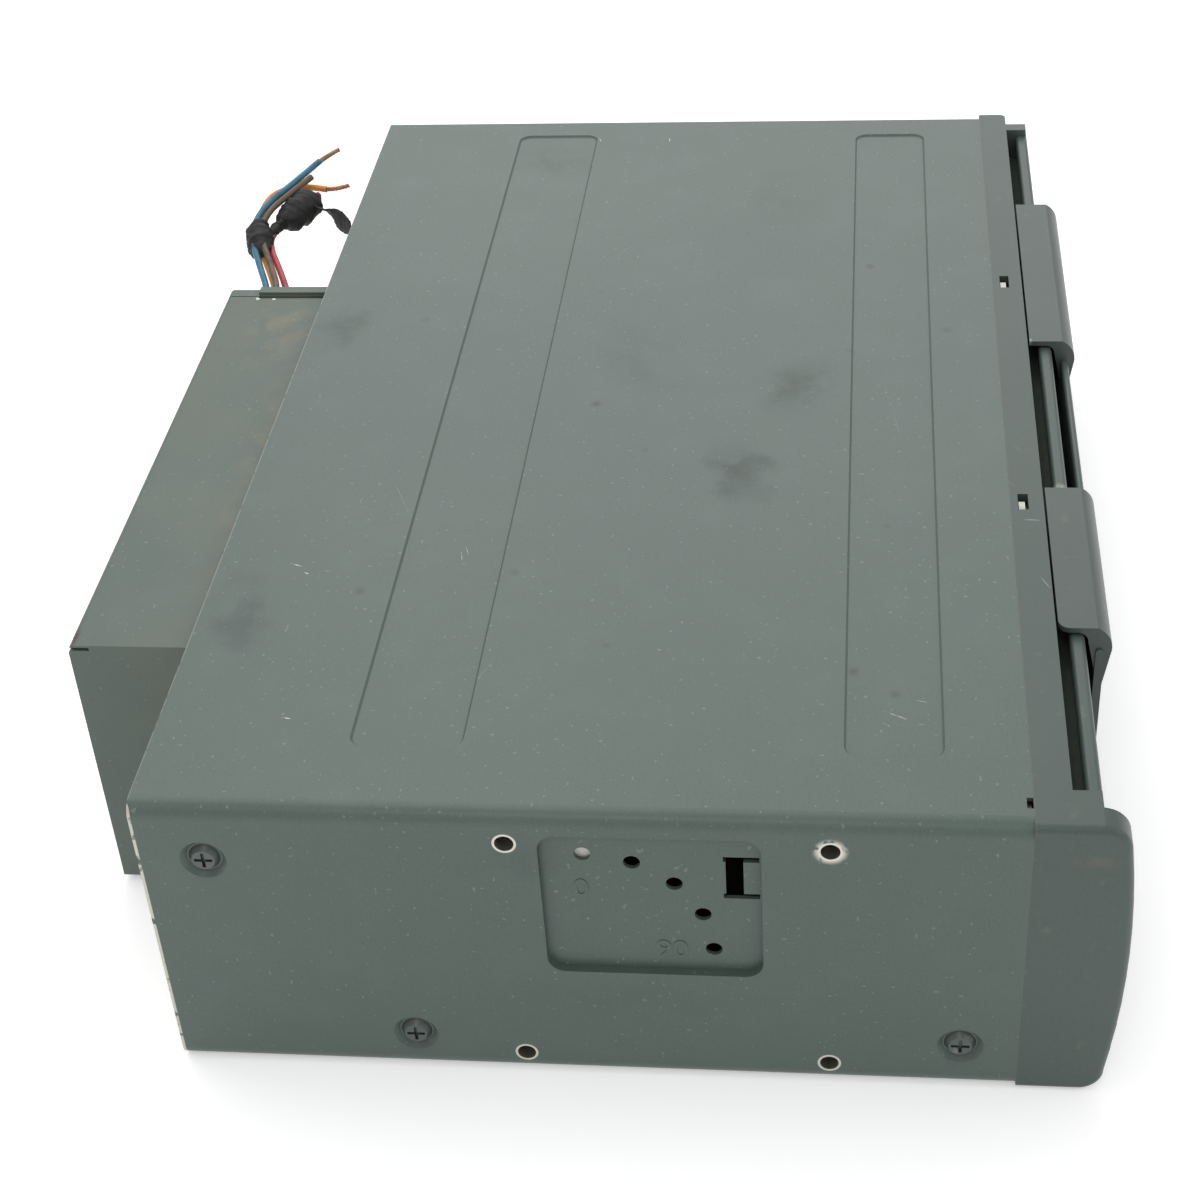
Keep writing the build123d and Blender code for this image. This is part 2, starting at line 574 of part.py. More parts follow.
def eject_button():
    """The eject key behind the door, with its two guide legs."""
    face_y = NOSE_Y - 1.4
    key = block(BUTTON_X0, BUTTON_X1, face_y, NOSE_Y + 2.6, BUTTON_Z0, BUTTON_Z1)
    key = fillet(key.faces().sort_by(Axis.Y)[0].edges(), 0.8)
    key += block(
        BUTTON_X0 - 1.6, BUTTON_X1 + 1.6, NOSE_Y + 2.1, NOSE_Y + 3.1, BUTTON_Z0 - 1.6, BUTTON_Z1 + 1.6
    )
    for x in (BUTTON_X0 + 3, BUTTON_X1 - 3):
        key += rod_y(1.4, NOSE_Y + 3, NOSE_Y + 8.0, x, (BUTTON_Z0 + BUTTON_Z1) / 2)
    groove = Pos((BUTTON_X0 + BUTTON_X1) / 2, (BUTTON_Z0 + BUTTON_Z1) / 2 - 2) * Rectangle(9, 0.8)
    key -= along_y(groove, face_y - 1, face_y + 0.3)
    return key


def button_switch():
    """The switch block behind the eject key."""
    y0 = NOSE_Y + 3.1 + BUTTON_STROKE + SEAT
    mid_x = (BUTTON_X0 + BUTTON_X1) / 2
    mid_z = (BUTTON_Z0 + BUTTON_Z1) / 2
    body = block(mid_x - 3, mid_x + 3, y0, y0 + 3.0, mid_z - 3, mid_z + 3)
    frame = block(BUTTON_X0 - 4.5, BUTTON_X1 + 4.5, y0 + 3.0, y0 + 4.2, 21, 49)
    legs = block(BUTTON_X0 - 4.5, BUTTON_X0 - 3.4, y0 + 3.0, FRONT_IN + 1.2, 21, 49)
    legs += block(BUTTON_X1 + 3.4, BUTTON_X1 + 4.5, y0 + 3.0, FRONT_IN + 1.2, 21, 49)
    feet = block(BUTTON_X0 - 8, BUTTON_X0 - 3.4, FRONT_IN, FRONT_IN + 1.2, 21, 49)
    feet += block(BUTTON_X1 + 3.4, BUTTON_X1 + 8, FRONT_IN, FRONT_IN + 1.2, 21, 49)
    holes = Part()
    for x in (BUTTON_X0 + 3, BUTTON_X1 - 3):
        holes += rod_y(1.4 + SEAT, y0 + 2, y0 + 6, x, mid_z)
    return body + frame + legs + feet - holes


# ---------------------------------------------------------------- add-on box
def rear_box_cover():
    """The bent cover of the add-on box: top, back and near end, open at the far end."""
    x1 = BOX_CAP_X - 0.3
    outer = block(BOX_X0, x1, BOX_Y0, BOX_BACK, BOX_Z0, BOX_Z1)
    outer = fillet(outer.edges().filter_by(Axis.X).sort_by(Axis.Y)[-2:].sort_by(Axis.Z)[-1:], 1.2)
    inner = block(BOX_X0 + SHEET, x1 + 1, BOX_Y0 - 1, BOX_BACK - SHEET, BOX_Z0 - 1, BOX_Z1 - SHEET)
    cover = outer - inner
    cover -= block(BOX_X0 - 1, BOX_X0 + 3.2, BOX_BACK - 0.35, BOX_BACK + 1, BOX_Z1 - 1.6, BOX_Z1 + 1)
    cover -= block(BOX_X0 - 1, BOX_X0 + SHEET, BOX_BACK - 4, BOX_BACK + 1, BOX_Z1 - 1.2, BOX_Z1 - 0.5)
    cover -= block(x1 - 0.7, x1 + 1, BOX_Y0 - 1, BOX_BACK - LIP_BACK, BOX_Z1 - SHEET - 0.01, BOX_Z1 + 1)
    flange = block(BOX_X0 + SHEET, BOX_X0 + 9, BOX_Y0, BOX_Y0 + SHEET, BOX_Z0 + 1.2, BOX_Z1 - SHEET)
    return cover + flange


def rear_box_base():
    """The box's floor with its turned-up far end cap and mounting flange."""
    x0 = BOX_CAP_X
    floor = block(BOX_X0 + 1.2, BOX_X1, BOX_Y0, BOX_BACK - SHEET - 0.2, BOX_Z0, BOX_Z0 + SHEET)
    cap = block(x0, BOX_X1, BOX_Y0, BOX_BACK, BOX_Z0, BOX_Z1)
    cap = fillet(cap.edges().filter_by(Axis.X).sort_by(Axis.Y)[-2:].sort_by(Axis.Z)[-1:], 1.2)
    cap -= block(x0 - 1, BOX_X1 - SHEET, BOX_Y0 - 1, BOX_BACK - SHEET, BOX_Z0 + SHEET, BOX_Z1 - SHEET)
    cap -= rod_x(6.0, x0 - 1, BOX_X1 + 1, GROMMET_Y, GROMMET_Z)
    for z in BOX_SCREW_Z:
        cap -= rod_x(1.0 + FIT, x0 - 1, BOX_X1 + 1, REAR_Y + BOX_SCREW_Y, z)
    cap += block(x0 + 0.3, BOX_X1, BOX_Y0, BOX_BACK - LIP_BACK, BOX_Z1 - SHEET, BOX_Z1 + LIP_RISE)
    back = block(x0 - 9, x0, BOX_Y0, BOX_Y0 + SHEET, BOX_Z0, BOX_Z1 - 2 * SHEET)
    low = BOX_Z1 - 2 * SHEET - 0.02
    tongue = block(x0 - 4, x0 + SHEET, BOX_Y0 + 4, BOX_BACK - 4, low, low + SHEET)
    tongue += block(x0, x0 + SHEET, BOX_Y0 + 4, BOX_BACK - 4, low, BOX_Z1 - SHEET)
    return floor + cap + back + tongue


def box_screws():
    """The two small screws of the add-on box's end cap."""
    screws = Part()
    x = BOX_X1
    y = REAR_Y + BOX_SCREW_Y
    for z in BOX_SCREW_Z:
        head = rod_x(1.9, x, x + 0.9, y, z) + rod_x(1.0, x - SHEET - 1.5, x, y, z)
        head -= block(x + 0.4, x + 2, y - 1.1, y + 1.1, z - 0.25, z + 0.25)
        head -= block(x + 0.4, x + 2, y - 0.25, y + 0.25, z - 1.1, z + 1.1)
        screws += head
    return screws


def spacer_places():
    """The (x, z) places of the spacers behind the box's board."""
    return [(x, z) for x in (BOX_X0 + 12, BOX_X1 - 16) for z in (BOX_Z0 + 10, BOX_Z1 - 12)]


def box_board():
    """The circuit board in the add-on box, on four standing spacers."""
    y0 = BOX_BOARD_Y
    y1 = y0 + BOX_BOARD_T
    board = block(BOX_X0 + 6, BOX_X1 - 6, y0, y1, BOX_Z0 + 5, BOX_Z1 - 6)
    for x, z in spacer_places():
        board -= rod_y(1.6, y0 - 1, y1 + 1, x, z)
    return board


def board_spacers():
    """The spacers between the box's board and the case's rear wall."""
    y0 = REAR_IN + SHEET
    y1 = BOX_BOARD_Y + BOX_BOARD_T
    spacers = Part()
    for x, z in spacer_places():
        spacers += rod_y(3.0, y0, BOX_BOARD_Y, x, z)
        spacers += rod_y(1.5, BOX_BOARD_Y, y1, x, z)
        spacers += rod_y(2.6, y1, y1 + 1.2, x, z)
    return spacers


def box_parts():
    """The parts soldered to the box's board: coil, capacitors, chips and the lead terminal."""
    y = BOX_BOARD_Y + BOX_BOARD_T
    parts = Part()
    parts += rod_y(7.0, y, y + 8.5, -55, 32) - rod_y(3.0, y - 1, y + 9.5, -55, 32)
    for x in (-30, -18):
        parts += rod_y(4.0, y, y + 9.5, x, 40)
    parts += block(-6, 12, y, y + 3, 20, 38)
    parts += block(20, 26, y, y + 2.4, 24, 34)
    parts += block(26, 38, y, y + 6, 36, 44)
    return parts


def link_connector():
    """The plug and socket between the case's rear wall and the box's board."""
    shell = block(-18, 18, REAR_IN - 5, BOX_BOARD_Y, 21.5, 30.5)
    shell -= block(-16, 16, REAR_IN - 6, BOX_BOARD_Y - 2.0, 23, 29)
    tongue = block(-14, 14, REAR_IN - 4, BOX_BOARD_Y - 1.5, 25.2, 26.8)
    rim = block(-20.5, 20.5, REAR_IN - 1.0, REAR_IN, 19, 33)
    rim -= block(-17, 17, REAR_IN - 2, REAR_IN + 1, 22, 30)
    return shell + tongue + rim


def wire_grommet():
    """The rubber grommet in the box's end cap."""
    x = BOX_X1
    hub = rod_x(5.9, x - SHEET - 1.5, x + GROMMET_OUT, GROMMET_Y, GROMMET_Z)
    groove = rod_x(6.7, x, x + GROMMET_OUT, GROMMET_Y, GROMMET_Z)
    back = rod_x(6.7, x - SHEET - 1.5, x - SHEET, GROMMET_Y, GROMMET_Z)
    body = hub + groove + back
    rim = body.faces().sort_by(Axis.X)[-1].edges()
    return chamfer(rim, 0.5)


def wire_routes():
    """Each lead's points by hand, from the grommet to its cut end."""
    x = BOX_X1 + GROMMET_OUT
    return {
        "wire_blue": [
            (x, 93.4, 52.6), (57.5, 93.4, 52.6), (69, 98.2, 55.2), (80, 102.4, 57.4),
            (91, 101.6, 58.8), (101, 95.6, 60.4), (111.5, 91.0, 61.2),
        ],
        "wire_brown": [
            (x, 91.0, 53.6), (57.5, 91.0, 53.6), (68, 95.0, 55.4), (79, 99.9, 57.4),
            (89, 100.2, 58.4), (97, 95.8, 59.6), (104, 91.6, 60.6),
        ],
        "wire_red": [
            (x, 88.6, 51.6), (57.5, 88.6, 51.6), (68, 92.9, 53.6), (79, 98.0, 55.2),
            (88.5, 97.6, 55.4), (95.5, 93.6, 56.0), (101.5, 89.6, 57.0),
        ],
        "wire_orange": [
            (x, 91.2, 50.2), (57.5, 91.2, 50.2), (69, 95.8, 53.0), (81, 101.4, 55.0),
            (92, 102.9, 56.4), (101.5, 101.6, 57.4), (105.5, 94.5, 57.6), (103.5, 88.0, 57.4),
        ],
    }


def lead(name, points):
    """A round lead along its points, with every corner as wide as its runs allow."""
    vectors = [Vector(*p) for p in points]
    radii = []
    for a, b, c in zip(vectors, vectors[1:], vectors[2:]):
        turn = math.radians((b - a).get_angle(c - b))
        shorter = min((b - a).length, (c - b).length)
        radii.append(0.45 * shorter / math.tan(turn / 2))
    path = FilletPolyline(*points, radius=radii)
    print(name, "radii", [round(r, 1) for r in radii], "length", round(path.length, 1))
    start = Plane(origin=path @ 0, z_dir=path % 0)
    tube = sweep(start * Circle(WIRE_D / 2), path=path)
    ideal = math.pi * WIRE_D**2 / 4 * path.length
    print(name, "volume over section times length", round(tube.volume / ideal, 4))
    return tube


def tape_wrap():
    """Cloth tape: a binding round the four leads, a lump on the red one and the loose end."""
    knot = Pos(81.0, 100.3, 56.1) * Rot(0, 76, 12) * Cylinder(3.4, 9.5)
    lump = Pos(95.2, 94.0, 56.0) * Rot(0, 84, -30) * Cylinder(4.4, 11.0)
    lump = chamfer(lump.edges().filter_by(GeomType.CIRCLE), 1.2)
    knot = chamfer(knot.edges().filter_by(GeomType.CIRCLE), 0.9)
    neck = Pos(88.0, 97.4, 55.6) * Rot(0, 90, -28) * Cylinder(2.2, 9.0)
    tail = outline(
        [(94.0, 92.0), (97.5, 91.0), (95.0, 87.4), (93.4, 83.2), (87.4, 78.0), (84.2, 76.4),
         (81.6, 79.6), (85.4, 83.4), (89.6, 86.2), (92.0, 88.4)]
    )
    return knot + lump + neck + along_z(tail, 56.4, 57.2)


# ---------------------------------------------------------------- magazine and trays
def tray(level):
    """One disc tray at its level in the magazine, counted from 0."""
    z0 = TRAY_Z + PITCH * level
    z1 = z0 + TRAY_T
    body = plate(TRAY_X0, TRAY_X1, -TRAY_HALF, TRAY_HALF, z0, z1, 3.0)
    body -= rod_z(DISC_R + 0.4, z1 - TRAY_POCKET, z1 + 1, TRAY_CX, 0)
    body -= rod_z(15.0, z0 - 1, z1, TRAY_CX, 0)
    body -= block(TRAY_CX - 12, TRAY_CX + 12, -DISC_R + 1.5, 0, z0 - 1, z1)
    body -= block(TRAY_X1 - 3.4, TRAY_X1 - 0.4, TRAY_HALF - 1.3, TRAY_HALF + 1, z0 - 1, z1 + 1)
    body -= along_z(Pos(TRAY_X1 + 6, 0) * Circle(22), z0 - 1, z1 + 1)
    body -= block(TRAY_X0 - 1, TRAY_X0 + 4, 38, 50, z0 - 1, z1 + 1)
    return body


def magazine_shell():
    """The magazine's case: a grip front, closed left and rear walls, ledges for every tray."""
    front_in = -TRAY_HALF - 2.6
    rear_in = MAG_REAR - MAG_WALL
    inner_x = MAG_X0 + MAG_WALL
    shell = block(MAG_X0, MAG_X1, MAG_FRONT, MAG_REAR, MAG_Z0, MAG_Z1)
    shell = fillet(shell.edges().filter_by(Axis.Z).sort_by(Axis.X)[:2], 3.0)
    shell -= block(inner_x, MAG_X1 + 1, front_in, rear_in, MAG_Z0 + MAG_WALL, MAG_Z1 - MAG_WALL)
    for level in range(LEVELS):
        top = TRAY_Z + PITCH * level - SEAT
        low = top - LEDGE_T if level else MAG_Z0 + MAG_WALL
        shell += block(inner_x, MAG_X1, front_in, front_in + LEDGE_REACH + 1.6, low, top)
        shell += block(inner_x, PULL_X, rear_in - LEDGE_REACH - 0.9, rear_in, low, top)
    shell -= block(PULL_X, MAG_X1 + 1, TRAY_HALF + 0.3, MAG_REAR + 1, MAG_Z0 + MAG_WALL, MAG_Z1 + 1)
    grip = Pos(-13, (MAG_Z0 + MAG_Z1) / 2) * RectangleRounded(70, 20, 4)
    shell -= along_y(grip, MAG_FRONT - 1, MAG_FRONT + 3.6)
    arrow = Pos(-13, MAG_Z1 - 4.2) * Triangle(a=5, b=5, c=5)
    shell -= along_y(arrow, MAG_FRONT - 1, MAG_FRONT + 0.5)
    vents = Part()
    for x in (-50, -30, -10, 10, 30):
        vents += along_z(Pos(x, 0) * SlotOverall(80, 6, rotation=90), MAG_Z1 - 2.2, MAG_Z1 + 1)
    return shell - vents


def magazine_guide():
    """The floor and side wall the magazine slides on, folded from sheet, on four legs."""
    left = MAG_X0 - 2.5
    deck_top = DECK_Z + DECK_T
    guide = block(left, MAG_X1, FRONT_Y + 3.2, 69.5, FLOOR_Z - 1.0, FLOOR_Z)
    guide -= block(PULL_X, MAG_X1 + 1, MAG_REAR - 0.1, 80, FLOOR_Z - 2, FLOOR_Z + 1)
    guide += block(left, left + 1.0, FRONT_Y + 3.2, 69.5, FLOOR_Z - 1.0, 44)
    for x0, x1, y0, y1 in [(-72, -52, -72, -71), (20, 40, -72, -71), (-30, -10, 68.5, 69.5)]:
        guide += block(x0, x1, y0, y1, deck_top, FLOOR_Z)
    guide += block(left, left + 1.0, -30, 30, deck_top, FLOOR_Z)
    for x in (-45, -5, 28):
        guide -= along_z(Pos(x, -10) * SlotOverall(70, 14, rotation=90), FLOOR_Z - 2, FLOOR_Z + 1)
    guide -= block(PUSH_X - 2.4, PUSH_X + 2.4, 44, 70, FLOOR_Z - 2, FLOOR_Z + 1)
    return guide


def eject_pusher():
    """The sliding block behind the magazine, with its foot through the guide's slot."""
    y0 = MAG_REAR + 0.5
    pusher = block(PUSH_X - 8, PUSH_X + 8, y0, y0 + 3.2, FLOOR_Z + 0.4, FLOOR_Z + 13)
    pusher += block(PUSH_X - 2, PUSH_X + 2, y0, y0 + 3.2, FLOOR_Z - 1.6, FLOOR_Z + 0.5)
    pusher += block(PUSH_X - 5, PUSH_X + 5, y0, y0 + 3.2, FLOOR_Z - 2.8, FLOOR_Z - 1.4)
    rib = block(PUSH_X - 1, PUSH_X + 1, y0 + 3.2, y0 + 4.4, FLOOR_Z + 2, FLOOR_Z + 11)
    return pusher + rib


def tray_puller():
    """The slider that hooks the tray's notch and draws it out to the turntable."""
    x0 = TRAY_X1 - 3.0
    y0 = TRAY_HALF + 0.9
    body = block(x0, x0 + 6, y0, END_Y - SEAT, TRAY_Z + 2.4, TRAY_Z + 7)
    arm = block(x0, x0 + 6, y0, y0 + 1.6, TRAY_Z + 0.2, TRAY_Z + 2.5)
    fin = block(x0 + 0.1, x0 + 1.9, TRAY_HALF - 0.8, y0 + 0.5, TRAY_Z + 0.2, TRAY_Z + 1.8)
    neck = block(x0 + 1, x0 + 5, END_Y - SEAT, END_Y + END_T + 0.3, TRAY_Z + 4.3, TRAY_Z + 5.7)
    head = block(x0, x0 + 6, END_Y + END_T + 0.1, END_Y + END_T + 0.7, TRAY_Z + 3, TRAY_Z + 7)
    return body + arm + fin + neck + head


# ---------------------------------------------------------------- floating deck
def deck_chassis():
    """The floating deck: a stamped plate with the drive's window."""
    top = DECK_Z + DECK_T
    deck = plate(-124, 125, -72.2, 72.2, DECK_Z, top, 5.0)
    deck -= plate(51.5, 117, -64.6, 50, DECK_Z - 1, top + 1, 3.0)
    for x in (-62, -18, 26):
        deck -= plate(x - 15, x + 15, -48, 44, DECK_Z - 1, top + 1, 6.0)
    for x, y in DAMPERS:
        deck -= rod_z(1.6, DECK_Z - 1, top + 1, x, y)
    deck -= rod_z(SCREW_R + FIT, DECK_Z - 1, top + 1, *SCREW_XY)
    flange = block(-100, 40, -72.2, -71.2, DECK_Z - 5, DECK_Z + 0.1)
    flange += block(-100, 40, 71.2, 72.2, DECK_Z - 5, DECK_Z + 0.1)
    stub_x, stub_y = idler_place()
    stub = rod_z(1.5, GEAR_Z - 0.4, DECK_Z, stub_x, stub_y)
    cap = rod_z(2.4, GEAR_Z - 1.0, GEAR_Z - 0.3, stub_x, stub_y)
    return deck + flange + stub + cap


def foot_z(x):
    """The height of the base under a damper."""
    return 2 * SHEET if abs(x) > HALF_W - LIP_W - SEAT - 8 else SHEET


def deck_dampers():
    """The rubber dampers under the deck's corners."""
    dampers = Part()
    for x, y in DAMPERS:
        z0 = foot_z(x)
        one = rod_z(DAMPER_R, z0, DECK_Z, x, y)
        waist = rod_z(DAMPER_R + 1, z0 + 3.2, z0 + 5.0, x, y) - rod_z(DAMPER_R - 0.9, z0, 11, x, y)
        dampers += one - waist - rod_z(1.3, z0 - 1, DECK_Z + 1, x, y)
    return dampers


def damper_pins():
    """The studs through the dampers, with their heads over the deck."""
    pins = Part()
    top = DECK_Z + DECK_T
    for x, y in DAMPERS:
        pins += rod_z(1.2, foot_z(x), top, x, y) + rod_z(2.8, top, top + 0.5, x, y)
    return pins


def guide_posts():
    """The plain posts the lift slides on."""
    posts = Part()
    for x, y in POSTS:
        posts += rod_z(POST_R, DECK_Z + DECK_T, BRIDGE_Z, x, y)
    return posts


def top_bridge():
    """The frame that ties the tops of the posts and the lift screw."""
    z1 = BRIDGE_Z + 1.0
    bridge = plate(50, 125, -73.2, 73.2, BRIDGE_Z, z1, 3.0)
    bridge -= plate(46, 119, -66.5, 66.5, BRIDGE_Z - 1, z1 + 1, 3.0)
    bridge -= block(40, 52, -66.5, 66.5, BRIDGE_Z - 1, z1 + 1)
    bridge -= rod_z(SCREW_R + FIT, BRIDGE_Z - 1, z1 + 1, *SCREW_XY)
    return bridge


# ---------------------------------------------------------------- lift drive
def centre_distance():
    """Distance between the pinions and the idler they mesh with."""
    return GEAR_MODULE * (PINION_TEETH + IDLER_TEETH) / 2


def idler_place():
    """Where the idler gear turns."""
    angle = math.radians(IDLER_DIR)
    reach = centre_distance()
    return SCREW_XY[0] + reach * math.cos(angle), SCREW_XY[1] + reach * math.sin(angle)


def motor_place():
    """Where the lift motor's pinion turns."""
    x, y = idler_place()
    angle = math.radians(MOTOR_DIR)
    reach = centre_distance()
    return x + reach * math.cos(angle), y + reach * math.sin(angle)


def lift_screw():
    """The upright lift screw with its pinion under the deck."""
    x, y = SCREW_XY
    pinion = gear(PINION_TEETH, GEAR_MODULE, 0.2, GEAR_T, IDLER_DIR)
    screw = Pos(x, y, GEAR_Z) * pinion + rod_z(SCREW_R, GEAR_Z - 0.8, BRIDGE_Z + 1.4, x, y)
    screw += rod_z(2.6, BRIDGE_Z + 1.1, BRIDGE_Z + 1.7, x, y)
    return screw


def lift_idler():
    """The idler gear between the lift motor and the lift screw."""
    x, y = idler_place()
    half_tooth = 180.0 / IDLER_TEETH
    phase = IDLER_DIR + 180.0 + half_tooth
    wheel = gear(IDLER_TEETH, GEAR_MODULE, 1.5 + FIT, GEAR_T, phase)
    wheel -= Pos(0, 0, 0.7) * extrude(Circle(7.4) - Circle(3.4), 3)
    return Pos(x, y, GEAR_Z) * wheel


def idler_phase_at(direction):
    """How far the idler's nearest tooth stands from a direction, in degrees."""
    pitch = 360.0 / IDLER_TEETH
    phase = IDLER_DIR + 180.0 + pitch / 2
    return (phase - direction) % pitch


def lift_pinion():
    """The pinion on the lift motor's shaft."""
    x, y = motor_place()
    offset = idler_phase_at(MOTOR_DIR)
    pinion_pitch = 360.0 / PINION_TEETH
    facing = MOTOR_DIR + 180.0
    shift = offset * IDLER_TEETH / PINION_TEETH
    phase = facing + pinion_pitch / 2 - shift
    pinion = gear(PINION_TEETH, GEAR_MODULE, 0.2, GEAR_T, phase)
    return Pos(x, y, GEAR_Z) * pinion + rod_z(0.9, GEAR_Z, GEAR_Z + 5.0, x, y)


def lift_motor():
    """The flat lift motor, hung on the deck's underside."""
    x, y = motor_place()
    z0 = GEAR_Z + GEAR_T + 0.4
    body = rod_z(8.0, z0 + 0.8, DECK_Z, x, y) + rod_z(3.0, z0, z0 + 0.9, x, y)
    body += block(x - 11, x + 11, y - 2.5, y + 2.5, DECK_Z - 0.8, DECK_Z)
    body += block(x - 9.4, x - 7.6, y - 2, y + 2, z0 + 2.5, z0 + 4.0)
    return body - rod_z(0.9 + FIT, z0 - 1, GEAR_Z + 5.4, x, y)


def lift_carriage():
    """The lift's folded frame: end walls, tray rails, post tabs, nut and clamp hinge ears."""
    z0 = CARRIAGE_Z
    wall_z = 30.0
    far_x = 125.0
    foot = block(51.5, far_x, -END_Y - END_T, -END_Y + 0.8, z0, z0 + 1)
    foot += block(51.5, 129, END_Y - 5.7, END_Y + END_T, z0, z0 + 1)
    foot += block(106, far_x, -END_Y, END_Y, z0, z0 + 1)
    foot += block(55.5, 66.5, 42, END_Y, z0, z0 + 1)
    walls = block(51.5, far_x, -END_Y - END_T, -END_Y, z0, wall_z)
    walls += block(TRAY_X1 - 4, 129, END_Y, END_Y + END_T, z0, wall_z)
    walls += block(RAIL_START, far_x - 1, -END_Y, -TRAY_HALF + 1.0, RAIL_Z - 1.3, RAIL_Z)
    walls += block(52.0, far_x - 1, TRAY_HALF - 1.0, END_Y, RAIL_Z - 1.3, RAIL_Z)
    walls -= block(
        TRAY_X1 - 2.4, TRAY_X1 + 3 + TRAY_OUT, END_Y - 0.5, END_Y + 2, TRAY_Z + 4.0, TRAY_Z + 6.0
    )
    tabs = Part()
    for x, y in POSTS + [SCREW_XY]:
        side = 1 if y > 0 else -1
        near = side * (END_Y + END_T)
        far = side * 73.2
        for z in (z0, wall_z - 1):
            tabs += block(x - 4, x + 4, min(near, far), max(near, far), z, z + 1)
        radius = (SCREW_R if (x, y) == SCREW_XY else POST_R) + FIT
        tabs -= rod_z(radius, z0 - 1, wall_z + 1, x, y)
    ears = block(53, 74.5, END_Y - 1, END_Y, 28.5, 33)
    for x in (53.0, 73.5):
        ears += block(x, x + 1, CLAMP_Y - 2.2, END_Y, 28.5, 33)
    ears += rod_x(1.2, 53.5, 74.0, CLAMP_Y, CLAMP_Z)
    studs = Part()
    for x, y in TRAVERSE_STUDS:
        studs += rod_z(1.3, z0 + 1, z0 + 7.0, x, y)
    return foot + walls + tabs + ears + studs


# ---------------------------------------------------------------- disc drive
def traverse_plate():
    """The drive's base plate with its windows and rod holders."""
    z0 = TRAVERSE_Z
    z1 = z0 + TRAVERSE_T
    base = plate(52.5, 118, -64.6, 40, z0, z1, 3.0) + plate(54, 68, 30, 54, z0, z1, 3.0)
    base -= rod_z(4.5, z0 - 1, z1 + 1, PLAY_X, 0)
    base -= block(PLAY_X - 7.5, PLAY_X + 7.5, -63.0, -17.5, z0 - 1, z1 + 1)
    base -= block(FEED_X - 4.6, FEED_X + 4.6, -8.6, 12.8, z0 - 1, z1 + 1)
    base -= block(RAIL_START - 0.5, 119, -65, -TRAY_HALF + 1.4, z0 - 1, z1 + 1)
    for x, y in TRAVERSE_STUDS:
        base -= rod_z(2.4, z0 - 1, z1 + 1, x, y)
    for x in ROD_X:
        base += block(x - 2.6, x + 2.6, -64.6, -62.9, ROD_Z - 1.8, z0)
        base += block(x - 2.6, x + 2.6, -13.0, -11.0, ROD_Z - 1.8, z0)
        base -= rod_y(1.5 + FIT, -66, -9, x, ROD_Z)
    base += block(FEED_X - 2.6, FEED_X + 2.6, -64.6, -62.9, ROD_Z - 1.8, z0)
    base -= rod_y(1.5 + FIT, -66, -60, FEED_X, ROD_Z)
    base += block(76, 86, 10, 34, z0 - 1.2, z0)
    return base


def traverse_bushes():
    """The rubber bushes round the lift's studs."""
    bushes = Part()
    for x, y in TRAVERSE_STUDS:
        one = rod_z(3.6, CARRIAGE_Z + 1.3, TRAVERSE_Z, x, y) + rod_z(2.35, 16, 18, x, y)
        one += rod_z(3.6, TRAVERSE_Z + TRAVERSE_T, TRAVERSE_Z + TRAVERSE_T + 0.5, x, y)
        bushes += one - rod_z(1.6, 10, 22, x, y)
    return bushes


def slide_rods():
    """The two rods the pickup slides on."""
    rods = Part()
    for x in ROD_X:
        rods += rod_y(1.5, -64.4, -11.2, x, ROD_Z)
    return rods


def feed_screw():
    """The pickup's feed screw, on the sled motor's shaft."""
    screw = rod_y(1.5, -64.4, -8.6, FEED_X, ROD_Z)
    screw += rod_y(0.75, -8.7, -4.0, FEED_X, ROD_Z)
    return screw


def sled_motor():
    """The small round motor that turns the feed screw."""
    can = rod_y(4.0, -8.0, 12.0, FEED_X, ROD_Z)
    can += block(FEED_X - 4, FEED_X + 4, 10.5, 11.5, ROD_Z, ROD_Z + 3.9)
    can += block(FEED_X - 6.6, FEED_X - 3.0, -3, 6, TRAVERSE_Z - 0.6, TRAVERSE_Z)
    can += block(FEED_X + 3.0, FEED_X + 6.6, -3, 6, TRAVERSE_Z - 0.6, TRAVERSE_Z)
    can += rod_y(1.8, 12.0, 12.7, FEED_X, ROD_Z)
    return can - rod_y(0.75 + FIT, -9, -3.6, FEED_X, ROD_Z)


def spindle_motor():
    """The flat spindle motor under the drive's plate."""
    body = rod_z(10.5, TRAVERSE_Z - 5.0, TRAVERSE_Z, PLAY_X, 0)
    body = fillet(body.edges().sort_by(Axis.Z)[0], 1.0)
    body += rod_z(4.3, TRAVERSE_Z, TRAVERSE_Z + 0.9, PLAY_X, 0)
    return body - rod_z(1.0 + FIT, TRAVERSE_Z - 4.4, TRAVERSE_Z + 2, PLAY_X, 0)


def turntable():
    """The turntable with its centring hub and shaft."""
    z = TRAVERSE_Z + 1.5
    half = make_face(
        Polyline(
            (0, z - 5.6), (1.0, z - 5.6), (1.0, z), (TURNTABLE_R, z), (TURNTABLE_R, z + 1.1),
            (HUB_R, z + 1.1), (HUB_R, z + 1.7), (5.4, z + 2.6), (0, z + 2.6), close=True,
        )
    )
    body = revolve(Plane.XZ * half, axis=Axis.Z)
    return Pos(PLAY_X, 0, 0) * body


def turntable_pad():
    """The thin rubber ring the disc sits on."""
    z = TRAVERSE_Z + 2.6
    return rod_z(TURNTABLE_R - 0.3, z, z + 0.25, PLAY_X, 0) - rod_z(8.4, z - 1, z + 1, PLAY_X, 0)


